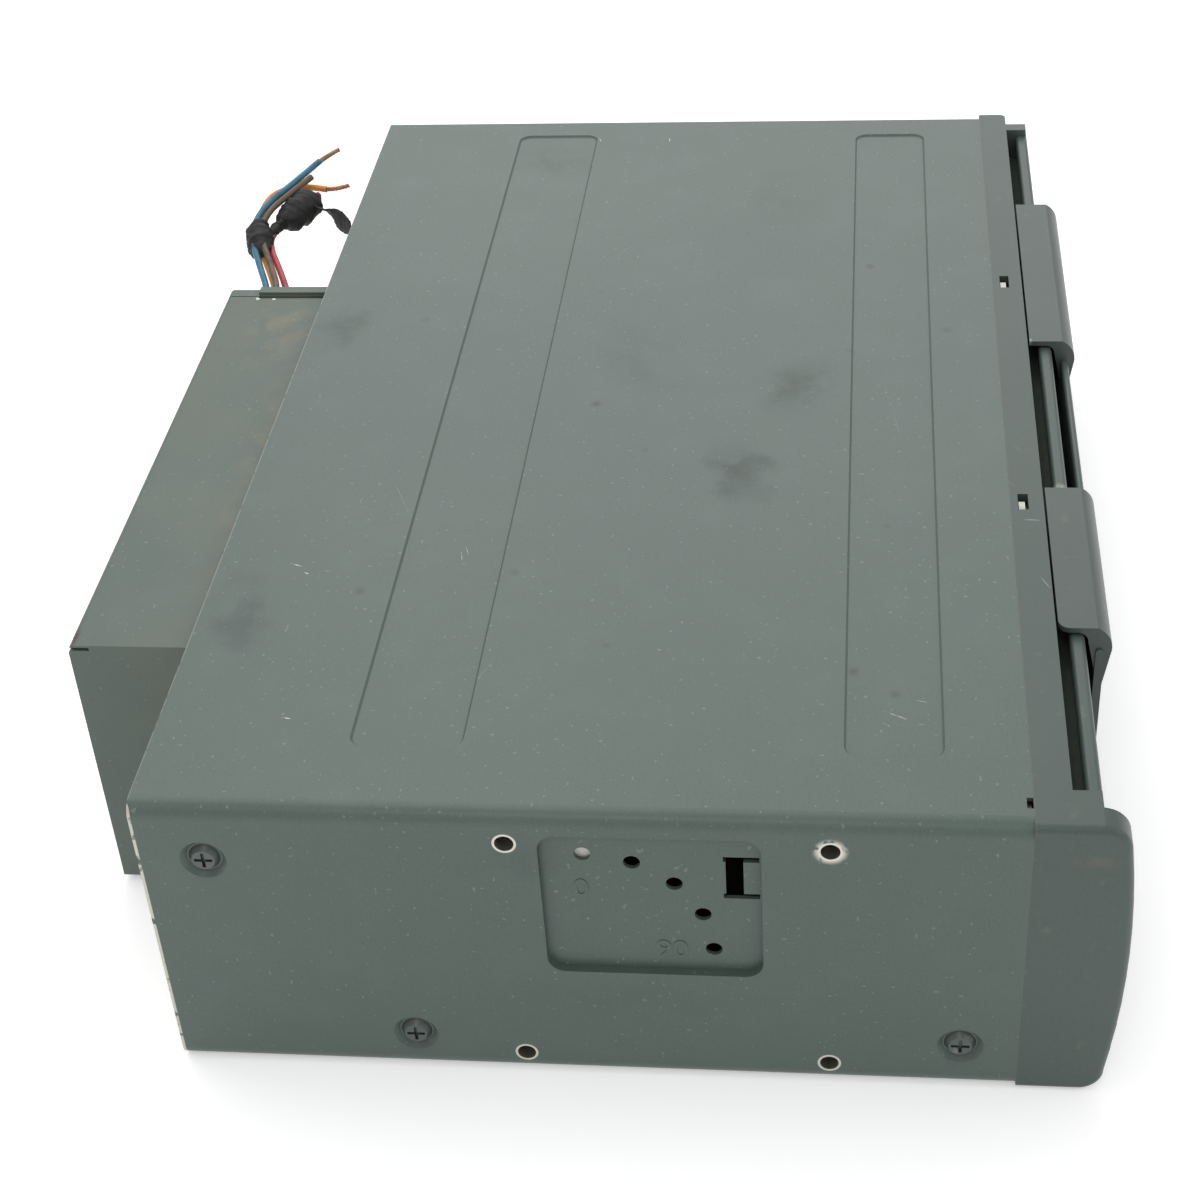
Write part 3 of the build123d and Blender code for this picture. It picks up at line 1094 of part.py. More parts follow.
def optical_pickup():
    """The pickup's cast body, on its two rods, with the arm to the feed screw."""
    y0 = LENS_Y - 4.5
    y1 = LENS_Y + 11.5
    left, right = ROD_X
    body = block(PLAY_X - 2.5 - 6, PLAY_X + 17, y0, y1, ROD_Z - 2.3, ROD_Z + 2.1)
    body += block(left - 2.6, left + 4, y0, y1, ROD_Z - 2.3, ROD_Z + 2.1)
    body += block(PLAY_X + 10, right + 2.4, y0 + 3, y1 - 3, ROD_Z - 2.3, ROD_Z + 2.1)
    body += block(PLAY_X - 6, PLAY_X + 6, LENS_Y - 4.5, LENS_Y + 6.5, ROD_Z + 2, ROD_Z + 3.3)
    body += block(right, FEED_X + 2.7, LENS_Y - 1.5, LENS_Y + 3, ROD_Z - 2.7, ROD_Z - 1.8)
    body += block(FEED_X + 1.8, FEED_X + 2.7, LENS_Y - 1.5, LENS_Y + 3, ROD_Z - 2.7, ROD_Z + 0.6)
    for x in ROD_X:
        body -= rod_y(1.5 + FIT, y0 - 1, y1 + 1, x, ROD_Z)
    body -= rod_z(3.4, ROD_Z + 2.4, ROD_Z + 4, PLAY_X, LENS_Y)
    body -= block(PLAY_X - 1, PLAY_X + 14, y0 + 4, y1 - 3, ROD_Z + 0.9, ROD_Z + 1.9)
    return body


def pickup_lens():
    """The pickup's lens in its ring."""
    z0 = ROD_Z + 2.4
    dome = Pos(PLAY_X, LENS_Y, z0 + 1.2) * Cone(1.9, 1.2, 0.5)
    return rod_z(3.3, z0, z0 + 0.95, PLAY_X, LENS_Y) + dome


def clamp_arm():
    """The arm that presses the puck on the disc, with its hinge knuckles."""
    z0 = CLAMP_Z - 0.4
    shape = Pos(PLAY_X, 22) * Rectangle(15, 74) + Pos(PLAY_X, 0) * Circle(10.5)
    arm = along_z(shape, z0, z0 + 0.9)
    for x in (PLAY_X - 7.5, PLAY_X + 4.5):
        arm += rod_x(2.1, x, x + 3, CLAMP_Y, CLAMP_Z)
        arm += block(x, x + 3, 58.0, CLAMP_Y, z0, z0 + 0.9)
    arm += block(PLAY_X - 7.5, PLAY_X - 6.7, 8, 56, z0 + 0.8, z0 + 2.6)
    arm += block(PLAY_X + 6.7, PLAY_X + 7.5, 8, 56, z0 + 0.8, z0 + 2.6)
    arm -= rod_x(1.2 + FIT, PLAY_X - 12, PLAY_X + 12, CLAMP_Y, CLAMP_Z)
    return arm - rod_z(5.4, z0 - 1, z0 + 4, PLAY_X, 0)


def clamp_puck():
    """The loose puck that holds the disc on the hub."""
    z0 = TRAY_Z + 5.4
    arm_top = CLAMP_Z + 0.5
    puck = rod_z(PUCK_R, z0, z0 + 2.2, PLAY_X, 0) + rod_z(5.0, z0, arm_top + 0.4, PLAY_X, 0)
    puck += rod_z(7.0, arm_top + 0.2, arm_top + 1.1, PLAY_X, 0)
    return puck - rod_z(HUB_R + 0.8, z0 - 1, z0 + 1.3, PLAY_X, 0)


# ---------------------------------------------------------------- control board
def main_board():
    """The main circuit board under the deck."""
    board = block(-104, 46, -66, 66, BOARD_Z, BOARD_TOP)
    for x, y in BOARD_POSTS:
        board -= rod_z(1.6, 3, 7, x, y)
    return board - block(-105, -92, -67, -50, 3, 7)


def board_posts():
    """The posts and screws that carry the main board."""
    posts = Part()
    for x, y in BOARD_POSTS:
        posts += rod_z(3.0, SHEET, BOARD_Z, x, y) + rod_z(1.5, BOARD_Z, BOARD_TOP, x, y)
        posts += rod_z(2.6, BOARD_TOP, BOARD_TOP + 1.0, x, y)
    return posts


def board_chips():
    """The parts on the main board."""
    chips = Part()
    for x, y, w, d, h in [(-70, 10, 20, 20, 2.4), (-30, 30, 14, 20, 2.6), (-30, -20, 12, 12, 2.0)]:
        chips += block(x - w / 2, x + w / 2, y - d / 2, y + d / 2, BOARD_TOP, BOARD_TOP + h)
    for x in (-60, -48, -36):
        chips += rod_z(3.2, BOARD_TOP, 10.4, x, -52)
    chips += block(6, 30, 48, 56, BOARD_TOP, 10.0)
    chips += block(10, 34, -58, -50, BOARD_TOP, 9.6)
    return chips


# ---------------------------------------------------------------- write every piece
def main():
    os.makedirs("parts", exist_ok=True)
    pieces = [
        top_cover, base_chassis, cover_screws, front_fascia, door_flap, eject_button,
        button_switch, rear_box_cover, rear_box_base, box_screws, box_board, board_spacers,
        box_parts, link_connector, wire_grommet, tape_wrap, magazine_shell,
        magazine_guide, eject_pusher, tray_puller, deck_chassis, deck_dampers, damper_pins,
        guide_posts, top_bridge, lift_screw, lift_idler, lift_pinion, lift_motor, lift_carriage,
        traverse_plate, traverse_bushes, slide_rods, feed_screw, sled_motor, spindle_motor,
        turntable, turntable_pad, optical_pickup, pickup_lens, clamp_arm, clamp_puck,
        main_board, board_posts, board_chips,
    ]
    for piece in pieces:
        save(piece(), piece.__name__)
    save(both_sides(lever_bracket()), "lever_brackets")
    save(both_sides(lever_rivet()), "lever_rivets")
    save(angle_lever(), "angle_lever_right")
    save(mirror(angle_lever(), about=Plane.YZ), "angle_lever_left")
    for level in range(LEVELS):
        save(tray(level), f"tray_{level + 1}")
    for name, points in wire_routes().items():
        save(lead(name, points), name)


main()
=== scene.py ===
"""The finished look of a car disc changer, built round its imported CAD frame.

Everything is in metres in the frame of the CAD model: +X to the right-hand side plate, the
front and its door towards -Y, +Z up, and the origin in the middle of the underside.
"""
import json
import logging
import math
from dataclasses import dataclass, replace
from enum import Enum
from typing import Any, Sequence

import bmesh
import bpy
from mathutils import Matrix, Vector, noise


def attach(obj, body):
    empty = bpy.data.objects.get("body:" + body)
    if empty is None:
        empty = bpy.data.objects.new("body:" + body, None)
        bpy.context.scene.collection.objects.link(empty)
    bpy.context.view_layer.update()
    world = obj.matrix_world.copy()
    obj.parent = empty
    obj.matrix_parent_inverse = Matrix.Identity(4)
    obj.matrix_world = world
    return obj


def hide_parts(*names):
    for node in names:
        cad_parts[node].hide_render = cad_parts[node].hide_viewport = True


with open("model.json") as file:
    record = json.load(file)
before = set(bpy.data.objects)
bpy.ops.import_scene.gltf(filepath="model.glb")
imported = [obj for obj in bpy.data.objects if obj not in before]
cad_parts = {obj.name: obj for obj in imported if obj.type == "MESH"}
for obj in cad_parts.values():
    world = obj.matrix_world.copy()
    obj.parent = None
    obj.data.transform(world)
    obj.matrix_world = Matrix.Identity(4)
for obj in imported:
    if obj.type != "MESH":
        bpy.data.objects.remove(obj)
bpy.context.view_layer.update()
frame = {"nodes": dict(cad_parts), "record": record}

log = logging.getLogger("disc_changer")

MM = 0.001
TOP = 62.3          # height of the lid
SIDE = 132.5        # outer face of a side plate
FAR = 2000.0        # longer than the object, for marks that run along a whole edge
STIR = 8.0          # grain in millimetres of the noise that frays a mark's outline
ONE_WAVE = math.pi / 10     # scale at which Blender's wave pattern repeats once per unit
Triple = tuple[float, float, float]


# ------------------------------------------------------------------ small tools
def linear(colour: str) -> tuple[float, float, float, float]:
    """Turn an sRGB hex colour into the linear colour that shaders take.

    Args:
        colour: Six hex digits, with or without a leading #.

    Returns:
        Linear red, green and blue, and an alpha of 1.
    """
    digits = colour.lstrip("#")
    values = []
    for i in (0, 2, 4):
        share = int(digits[i:i + 2], 16) / 255
        low = share <= 0.04045
        values.append(share / 12.92 if low else ((share + 0.055) / 1.055) ** 2.4)
    return values[0], values[1], values[2], 1.0


def add_node(tree: bpy.types.NodeTree, kind: str, inputs: dict | None = None,
             **settings: Any) -> bpy.types.Node:
    """Add one shader node, set its properties, and fill or link its inputs.

    Args:
        tree: The node tree of the material or world.
        kind: Blender's name for the node type.
        inputs: Input names or numbers, each with a value or a socket to link.
        **settings: Properties of the node itself.

    Returns:
        The new node.
    """
    node = tree.nodes.new(kind)
    for name, value in settings.items():
        setattr(node, name, value)
    for key, value in (inputs or {}).items():
        if isinstance(value, bpy.types.NodeSocket):
            tree.links.new(value, node.inputs[key])
        else:
            node.inputs[key].default_value = value
    return node


def mm(*values: float) -> Vector:
    """Turn millimetres into a vector in metres."""
    return Vector(values) * MM


# ------------------------------------------------------------------ finishes
class Pattern(Enum):
    """How a layer of a finish is spread over the surface."""

    NOISE = "soft random patches"
    SPANGLE = "flat crystal cells"
    PEBBLE = "rounded bumps"
    LINES = "parallel lines"
    WEAVE = "crossing threads"
    MARKS = "single marks only"


@dataclass(frozen=True)
class Mark:
    """One oval mark, such as a smudge, a speck or a scratch, with its place in millimetres."""

    centre: Triple
    size: Triple
    turn: Triple = (0.0, 0.0, 0.0)
    strength: float = 1.0


@dataclass(frozen=True)
class Layer:
    """One layer of a finish: a pattern at its real size, and what it does to the surface."""

    pattern: Pattern
    size: Triple = (1.0, 1.0, 1.0)
    cut: tuple[float, float] = (0.35, 0.65)
    colour: str | None = None
    amount: float = 1.0
    bump: float = 0.0
    rough: float = 0.0
    metal: float | None = None
    detail: float = 2.0
    marks: tuple[Mark, ...] = ()
    warp: float = 0.0
    hard: float = 0.0


@dataclass(frozen=True)
class Finish:
    """A finish made of a base and its layers.

    The layers go on in order, each mixed over the one before by its own mask.
    """

    name: str
    colour: str
    roughness: float = 0.5
    metallic: float = 0.0
    specular: float = 0.5
    coat: float = 0.0
    transmission: float = 0.0
    ior: float = 1.5
    layers: tuple[Layer, ...] = ()

    def _marks(self, tree: bpy.types.NodeTree, place: bpy.types.NodeSocket,
               layer: Layer) -> bpy.types.NodeSocket:
        """Mask that is 1 in the layer's marks and fades to 0 at their rims.

        Args:
            tree: The material's nodes.
            place: Object coordinates in metres.
            layer: The layer whose marks are wanted.

        Returns:
            The mask's socket.
        """
        if layer.warp:
            stir = add_node(tree, "ShaderNodeTexNoise",
                            {"Vector": place, "Scale": 1 / (STIR * MM), "Detail": 3.0})
            push = add_node(tree, "ShaderNodeVectorMath", {0: stir.outputs["Color"], 1: (0.5, 0.5, 0.5)},
                            operation="SUBTRACT")
            grown = add_node(tree, "ShaderNodeVectorMath", {0: push.outputs[0], "Scale": layer.warp * MM},
                             operation="SCALE")
            place = add_node(tree, "ShaderNodeVectorMath", {0: place, 1: grown.outputs[0]}).outputs[0]
        total: Any = 0.0
        for mark in layer.marks:
            local = add_node(tree, "ShaderNodeMapping", {
                "Vector": place,
                "Location": mm(*mark.centre),
                "Rotation": [math.radians(a) for a in mark.turn],
                "Scale": mm(*mark.size) / 2,
            }, vector_type="TEXTURE")
            far = add_node(tree, "ShaderNodeVectorMath", {0: local.outputs[0]}, operation="LENGTH")
            near = add_node(tree, "ShaderNodeMapRange", {
                "Value": far.outputs["Value"], "From Min": 1.0, "From Max": layer.hard,
                "To Max": mark.strength,
            }, interpolation_type="SMOOTHSTEP")
            total = add_node(tree, "ShaderNodeMath", {0: near.outputs[0], 1: total},
                             operation="MAXIMUM").outputs[0]
        return total

    def _mask(self, tree: bpy.types.NodeTree, place: bpy.types.NodeSocket, layer: Layer) -> Any:
        """Where a layer lies.

        Args:
            tree: The material's nodes.
            place: Object coordinates in metres.
            layer: The layer.

        Returns:
            The mask's socket.
        """
        scale = tuple(1 / (s * MM) for s in layer.size)
        local = add_node(tree, "ShaderNodeMapping", {"Vector": place, "Scale": scale}).outputs[0]
        value: Any = 1.0
        if layer.pattern is Pattern.NOISE:
            value = add_node(tree, "ShaderNodeTexNoise",
                             {"Vector": local, "Scale": 1.0, "Detail": layer.detail}).outputs[0]
        elif layer.pattern is Pattern.SPANGLE:
            value = add_node(tree, "ShaderNodeTexVoronoi", {"Vector": local, "Scale": 1.0}).outputs["Color"]
        elif layer.pattern is Pattern.PEBBLE:
            value = add_node(tree, "ShaderNodeTexVoronoi", {"Vector": local, "Scale": 1.0},
                             feature="SMOOTH_F1").outputs["Distance"]
        elif layer.pattern is Pattern.LINES:
            value = add_node(tree, "ShaderNodeTexWave",
                             {"Vector": local, "Scale": ONE_WAVE, "Distortion": 0.4}).outputs[1]
        elif layer.pattern is Pattern.WEAVE:
            warp, weft = (add_node(tree, "ShaderNodeTexWave", {"Vector": local, "Scale": ONE_WAVE},
                                   bands_direction=way) for way in ("X", "Y"))
            value = add_node(tree, "ShaderNodeMath", {0: warp.outputs[1], 1: weft.outputs[1]},
                             operation="MULTIPLY").outputs[0]
        if layer.pattern is not Pattern.MARKS:
            value = add_node(tree, "ShaderNodeMapRange", {
                "Value": value, "From Min": layer.cut[0], "From Max": layer.cut[1],
            }, interpolation_type="SMOOTHSTEP").outputs[0]
        if layer.marks:
            spots = self._marks(tree, place, layer)
            value = add_node(tree, "ShaderNodeMath", {0: value, 1: spots}, operation="MULTIPLY").outputs[0]
        return value

    def material(self) -> bpy.types.Material:
        """Build the finish as a procedural material, once.

        Returns:
            The material, shared by every piece with this finish.
        """
        known = bpy.data.materials.get(self.name)
        if known:
            return known
        made = bpy.data.materials.new(self.name)
        made.use_nodes = True
        tree = made.node_tree
        shader = tree.nodes["Principled BSDF"]
        place = add_node(tree, "ShaderNodeTexCoord").outputs["Object"]
        colour: Any = linear(self.colour)
        rough: Any = self.roughness
        metal: Any = self.metallic
        normal = None
        for layer in self.layers:
            mask = self._mask(tree, place, layer)
            part = add_node(tree, "ShaderNodeMath", {0: mask, 1: layer.amount},
                            operation="MULTIPLY").outputs[0]
            if layer.colour:
                colour = add_node(tree, "ShaderNodeMix", {0: part, 6: colour, 7: linear(layer.colour)},
                                  data_type="RGBA").outputs[2]
            if layer.rough:
                rough = add_node(tree, "ShaderNodeMath", {0: part, 1: layer.rough, 2: rough},
                                 operation="MULTIPLY_ADD", use_clamp=True).outputs[0]
            if layer.metal is not None:
                metal = add_node(tree, "ShaderNodeMix", {0: part, 2: metal, 3: layer.metal}).outputs[0]
            if layer.bump:
                relief = {"Height": part, "Distance": layer.bump * MM, "Strength": 1.0}
                if normal:
                    relief["Normal"] = normal
                normal = add_node(tree, "ShaderNodeBump", relief).outputs[0]
        for key, value in (("Base Color", colour), ("Roughness", rough), ("Metallic", metal)):
            if isinstance(value, bpy.types.NodeSocket):
                tree.links.new(value, shader.inputs[key])
            else:
                shader.inputs[key].default_value = value
        if normal:
            tree.links.new(normal, shader.inputs["Normal"])
        shader.inputs["Specular IOR Level"].default_value = self.specular
        shader.inputs["Coat Weight"].default_value = self.coat
        shader.inputs["Transmission Weight"].default_value = self.transmission
        shader.inputs["IOR"].default_value = self.ior
        return made


HOLE_YZ = ((-42.65, 4.85), (-42.65, 55.95), (11.55, 4.85), (11.55, 55.95))
SCREW_YZ = ((63.9, 50.3), (31.4, 8.8), (-65.4, 10.4))

# Hand grease on the lid darkens the powder coat in soft ovals where it was gripped.
GREASE = (
    Mark((-29.7, -22.9, TOP), (30, 17, 40), (0, 0, 12), 0.95),
    Mark((-27.0, -27.0, TOP), (14, 9, 40), (0, 0, 40), 0.7),
    Mark((2.5, -33.9, TOP), (32, 20, 40), (0, 0, -15), 0.75),
    Mark((-79.3, 66.8, TOP), (38, 15, 40), (0, 0, 12), 0.7),
    Mark((25.2, 67.8, TOP), (24, 15, 40), (0, 0, 0), 0.6),
    Mark((12.5, 0.6, TOP), (44, 20, 40), (0, 0, 30), 0.3),
    Mark((88.0, -28.0, TOP), (50, 30, 40), (0, 0, 0), 0.2),
    Mark((108.0, 30.0, TOP), (22, 30, 40), (0, 0, 0), 0.35),
    Mark((-SIDE, 10.0, 52.0), (40, 22, 14), (0, 0, 0), 0.3),
    Mark((-SIDE, -8.0, 20.0), (40, 50, 12), (0, 0, 0), 0.25),
)
# Small dark drips and pits.
SPECKS = tuple(Mark((x, y, TOP), (s, s * 0.9, 20), (0, 0, 0), a) for x, y, s, a in (
    (-5.3, 8.4, 3.8, 1.0), (54.4, -48.3, 3.8, 0.9), (25.3, -65.0, 4.2, 0.6), (-71.4, 46.5, 4.0, 0.7),
    (-92.6, -45.9, 3.4, 0.9), (-98.5, -53.2, 3.6, 0.7), (-86.6, -1.5, 3.0, 0.4), (-64.8, 17.9, 3.4, 0.5),
    (-22.6, -3.3, 3.0, 0.4), (16.8, -44.2, 3.2, 0.5), (29.6, 50.4, 4.0, 0.5), (70.0, -20.0, 3.0, 0.35),
    (42.0, 12.0, 2.6, 0.3), (-48.0, -52.0, 2.8, 0.35)))
# Short bright scratches through the coat.
SCRATCHES = tuple(Mark((x, y, TOP), (length, 0.3, 1.2), (0, 0, turn), 1.0) for x, y, length, turn in (
    (-59.5, 29.0, 5.0, 12), (-57.6, 28.2, 4.2, 18), (-63.4, 60.4, 3.2, 70), (-66.2, 57.6, 2.2, 60),
    (-104.7, -54.0, 8.5, 62), (-100.5, -58.3, 5.0, 75), (-107.0, -52.0, 3.0, 50), (120.3, 27.6, 3.5, 5),
    (120.1, 19.9, 2.6, 20), (119.8, 2.1, 2.4, 10), (-108.8, 52.6, 2.6, 80)))
# Fine light hairlines that show only close to.
HAIRLINES = tuple(Mark((x, y, TOP), (length, 0.16, 1.2), (0, 0, turn), 0.55) for x, y, length, turn in (
    (-40.0, 44.0, 14.0, 24), (62.0, 8.0, 11.0, -38), (-12.0, -54.0, 16.0, 8), (96.0, 52.0, 9.0, 66),
    (-96.0, 20.0, 12.0, -20), (34.0, -18.0, 8.0, 52)))
# The mounting holes' tapped walls and rims are bare metal, worn wider at the upper front one.
TAPPED = tuple(Mark((side * SIDE, y, z), (9.0, 4.3, 4.3)) for side in (-1, 1) for y, z in HOLE_YZ)
WORN_RIM = (Mark((-SIDE, -42.65, 55.95), (1.2, 6.6, 6.2)),)
# Grime sits in the dishes round the cover screws and runs down from them.
GRIME = tuple(Mark((side * SIDE, y, z - 1.2), (6.0, 10.5, 11.5), (0, 0, 0), 0.9)
              for side in (-1, 1) for y, z in SCREW_YZ)


def coat_layers(lid: bool) -> tuple[Layer, ...]:
    """Layers of the satin powder coat on folded steel.

    Args:
        lid: True on the cover, which carries the marks of handling.

    Returns:
        The layers, coarsest first.
    """
    layers = (
        Layer(Pattern.NOISE, (70, 70, 70), (0.3, 0.7), "4b5954", 0.3, rough=0.06, detail=4.0),
        Layer(Pattern.NOISE, (11, 11, 11), (0.45, 0.75), "5c6c66", 0.16, rough=-0.05, detail=5.0),
        # the coat's own grain is about 0.25 mm; drawn at 0.4 mm so that it shows
        Layer(Pattern.NOISE, (0.4, 0.4, 0.4), (0.25, 0.75), "63736c", 0.2, bump=0.010, detail=1.0),
        # settled dust: sparse pale grains
        Layer(Pattern.NOISE, (0.9, 0.9, 0.9), (0.77, 0.83), "9aa49d", 0.26, detail=0.0),
    )
    if lid:
        layers += (
            Layer(Pattern.NOISE, (5, 5, 5), (0.25, 0.6), "313b38", 0.62, rough=0.16, marks=GREASE, warp=16.0,
                  detail=5.0),
            Layer(Pattern.MARKS, colour="333d3a", amount=0.75, marks=SPECKS, warp=1.2),
            Layer(Pattern.NOISE, (7, 7, 7), (0.3, 0.6), "3a4340", 0.5, rough=0.1, marks=GRIME, warp=3.0,
                  detail=5.0),
            Layer(Pattern.MARKS, colour="a7b0aa", amount=0.6, marks=HAIRLINES, warp=1.0, hard=0.3),
            Layer(Pattern.NOISE, (0.8, 0.8, 0.8), (0.35, 0.6), "e8ebe6", 0.9, marks=SCRATCHES, warp=0.6,
                  hard=0.3),
        )
    return layers


COVER_COAT = Finish("powder_coat_cover", "4e5d56", 0.38, layers=coat_layers(True) + (
    Layer(Pattern.NOISE, (1.6, 1.6, 1.6), (0.42, 0.5), "c4c2b8", 0.95, metal=0.7, marks=WORN_RIM, hard=0.6,
          detail=4.0),
    Layer(Pattern.MARKS, colour="c9c6bc", rough=-0.08, metal=0.9, marks=TAPPED, hard=0.93),
    # sheared edges at the back are bare zinc-plated steel, and the coat is chipped beside them
    Layer(Pattern.NOISE, (2.4, 2.4, 2.4), (0.36, 0.46), "c9c8bf", 0.95, rough=0.05, metal=0.5, hard=0.96,
          detail=5.0, marks=(Mark((-SIDE, 80.1, 30), (6, 10.3, FAR)),
                             Mark((0, 80.5, TOP), (FAR, 10.3, 3), (0, 0, 0), 0.35))),
    Layer(Pattern.MARKS, colour="a3a59c", rough=0.1, metal=0.6, hard=0.96,
          marks=(Mark((0, 80.7, 30), (FAR, 10.3, FAR), (0, 0, 0), 0.8),)),
))
BOX_COAT = Finish("powder_coat_box", "56645d", 0.46, layers=coat_layers(False) + (
    # dust lies on the box behind the cover
    Layer(Pattern.NOISE, (22, 22, 22), (0.3, 0.7), "6f7164", 0.26, rough=0.1, detail=6.0),
    Layer(Pattern.NOISE, (6, 6, 6), (0.35, 0.65), "8d8269", 0.5, rough=0.15, detail=6.0,
          marks=(Mark((30, 84.0, 60.0), (46, 22, 30)),
                 Mark((-20, 78.0, 60.0), (120, 10, 30), (0, 0, 0), 0.6))),
    Layer(Pattern.MARKS, colour="d8d5c9", metal=0.6, hard=0.5,
          marks=(Mark((43.4, 92.0, 60.0), (1.5, 1.2, 2)), Mark((43.2, 88.2, 60.0), (1.1, 1.1, 2)))),
    Layer(Pattern.MARKS, colour="4b3326", amount=0.9, warp=1.5,
          marks=(Mark((-84.0, 98.8, 60.0), (9, 2.6, 2.0)),)),
))
FRONT_PLASTIC = Finish("moulded_abs_front", "44524c", 0.4, layers=(
    Layer(Pattern.NOISE, (40, 40, 40), (0.3, 0.7), "3f4a46", 0.35, rough=0.05, detail=3.0),
    # spark-eroded mould grain of about 0.3 mm
    Layer(Pattern.NOISE, (0.35, 0.35, 0.35), (0.3, 0.7), "56635e", 0.22, bump=0.012, detail=1.0),
    Layer(Pattern.NOISE, (3.5, 3.5, 3.5), (0.62, 0.75), "8a8d84", 0.12, detail=6.0),
    # dust packed into the seam behind the strip and into the bottom of the groove
    Layer(Pattern.NOISE, (2.2, 2.2, 2.2), (0.3, 0.6), "6b6a58", 0.6, rough=0.25, detail=5.0,
          marks=(Mark((0, -75.4, TOP), (FAR, 0.9, 6)), Mark((0, -85.7, 55.2), (FAR, 12, 4), (0, 0, 0), 0.7))),
    # painted highlight: a pale patch on the rail where the door's ear stops stands in for the rail's light
    # strip, with some rub wear too; the strip has a few light scores
    Layer(Pattern.NOISE, (1.6, 1.6, 1.6), (0.3, 0.55), "a9aa9c", 0.8, rough=0.1, detail=4.0,
          marks=(Mark((-32.6, -85.7, 60.4), (3.8, 4.0, 3.0)),), warp=0.8),
    Layer(Pattern.MARKS, colour="97a09a", amount=0.7, hard=0.3, warp=0.8,
          marks=(Mark((-46.0, -79.5, TOP), (0.4, 4.5, 2)), Mark((20.9, -82.4, TOP), (2.6, 1.4, 3)),
                 Mark((-66.0, -80.8, TOP), (5.0, 0.3, 2), (0, 0, 24)))),
))
DOOR_PLASTIC = replace(FRONT_PLASTIC, name="moulded_abs_door", colour="48544f")
ZINC = Finish("zinc_plated_steel", "a9aaa2", 0.34, 1.0, layers=(
    Layer(Pattern.SPANGLE, (5, 5, 5), (0.2, 0.8), "94968f", 0.5, rough=0.12),
    Layer(Pattern.NOISE, (0.3, 12, 0.3), (0.35, 0.65), "bdbdb4", 0.35, bump=0.004, rough=0.06),
    Layer(Pattern.NOISE, (18, 18, 18), (0.55, 0.8), "7f8077", 0.4, rough=0.15, detail=5.0),
))
BRIGHT = Finish("ground_bright_steel", "c3c4c4", 0.2, 1.0, layers=(
    Layer(Pattern.NOISE, (0.2, 0.2, 3.0), (0.3, 0.7), "a4a6a6", 0.5, bump=0.002, rough=0.12),
    Layer(Pattern.NOISE, (6, 6, 6), (0.55, 0.75), "8d8a80", 0.35, rough=0.15, detail=4.0),
))
BLACK_SCREW = Finish("black_passivated_screw", "585f5d", 0.4, 0.6, layers=(
    Layer(Pattern.NOISE, (0.7, 0.7, 0.7), (0.4, 0.7), "5b6062", 0.5, bump=0.006, rough=0.15, detail=3.0),
    Layer(Pattern.NOISE, (2.2, 2.2, 2.2), (0.6, 0.75), "8a8f8f", 0.4, detail=3.0),
))
ALUMINIUM = Finish("spun_aluminium_can", "c8cacc", 0.28, 1.0, layers=(
    Layer(Pattern.NOISE, (0.25, 0.25, 2.5), (0.3, 0.7), "a6a9ac", 0.5, bump=0.003, rough=0.1),
    Layer(Pattern.NOISE, (8, 8, 8), (0.55, 0.8), "93958f", 0.3, rough=0.12, detail=4.0),
))
BLACK_PLASTIC = Finish("black_abs", "1c1d1f", 0.45, layers=(
    Layer(Pattern.NOISE, (0.3, 0.3, 0.3), (0.3, 0.7), "2c2e30", 0.4, bump=0.012, detail=1.0),
    Layer(Pattern.NOISE, (14, 14, 14), (0.5, 0.8), "38393a", 0.3, rough=0.12, detail=5.0),
))
GREY_PLASTIC = Finish("grey_abs_tray", "6d6f72", 0.48, layers=(
    Layer(Pattern.NOISE, (0.3, 0.3, 0.3), (0.3, 0.7), "7d7f82", 0.35, bump=0.01, detail=1.0),
    Layer(Pattern.NOISE, (25, 25, 25), (0.4, 0.8), "5f6164", 0.4, rough=0.08, detail=4.0),
))
ACETAL = Finish("white_acetal", "dcdcd2", 0.4, layers=(
    Layer(Pattern.NOISE, (0.4, 0.4, 0.4), (0.3, 0.7), "ecece4", 0.35, bump=0.006, detail=1.0),
    Layer(Pattern.NOISE, (4, 4, 4), (0.55, 0.8), "b5b2a2", 0.3, rough=0.1, detail=4.0),
))
RUBBER = Finish("moulded_rubber", "1b1b1b", 0.75, layers=(
    Layer(Pattern.NOISE, (0.25, 0.25, 0.25), (0.3, 0.7), "2b2b2a", 0.5, bump=0.015, detail=1.0),
    Layer(Pattern.NOISE, (5, 5, 5), (0.5, 0.8), "45443f", 0.35, rough=0.1, detail=5.0),
))
BOARD = Finish("solder_resist_board", "17442c", 0.3, specular=0.6, layers=(
    Layer(Pattern.LINES, (1.3, 1.3, 50), (0.55, 0.7), "266340", 0.6, bump=0.02),
    Layer(Pattern.PEBBLE, (3.4, 3.4, 50), (0.16, 0.1), "b9b7a6", 0.9, rough=-0.05, metal=0.8),
    Layer(Pattern.NOISE, (20, 20, 20), (0.5, 0.8), "0f3322", 0.4, detail=4.0),
))
CHIP = Finish("moulded_epoxy_chip", "202123", 0.55, layers=(
    Layer(Pattern.NOISE, (0.2, 0.2, 0.2), (0.3, 0.7), "303234", 0.5, bump=0.01, detail=1.0),
    Layer(Pattern.NOISE, (6, 6, 6), (0.5, 0.8), "3d3e3f", 0.3, detail=3.0),
))
BRASS = Finish("hobbed_brass", "c79a4b", 0.28, 1.0, layers=(
    Layer(Pattern.NOISE, (0.2, 0.2, 1.0), (0.3, 0.7), "a67c36", 0.5, bump=0.003, rough=0.12),
    Layer(Pattern.NOISE, (3, 3, 3), (0.5, 0.8), "7c6238", 0.4, rough=0.1, detail=4.0),
))
LENS = Finish("coated_glass_lens", "9fb6e6", 0.05, specular=0.8, coat=1.0, transmission=0.85, ior=1.52,
              layers=(Layer(Pattern.NOISE, (0.8, 0.8, 0.8), (0.4, 0.7), "b9a6e8", 0.4),))
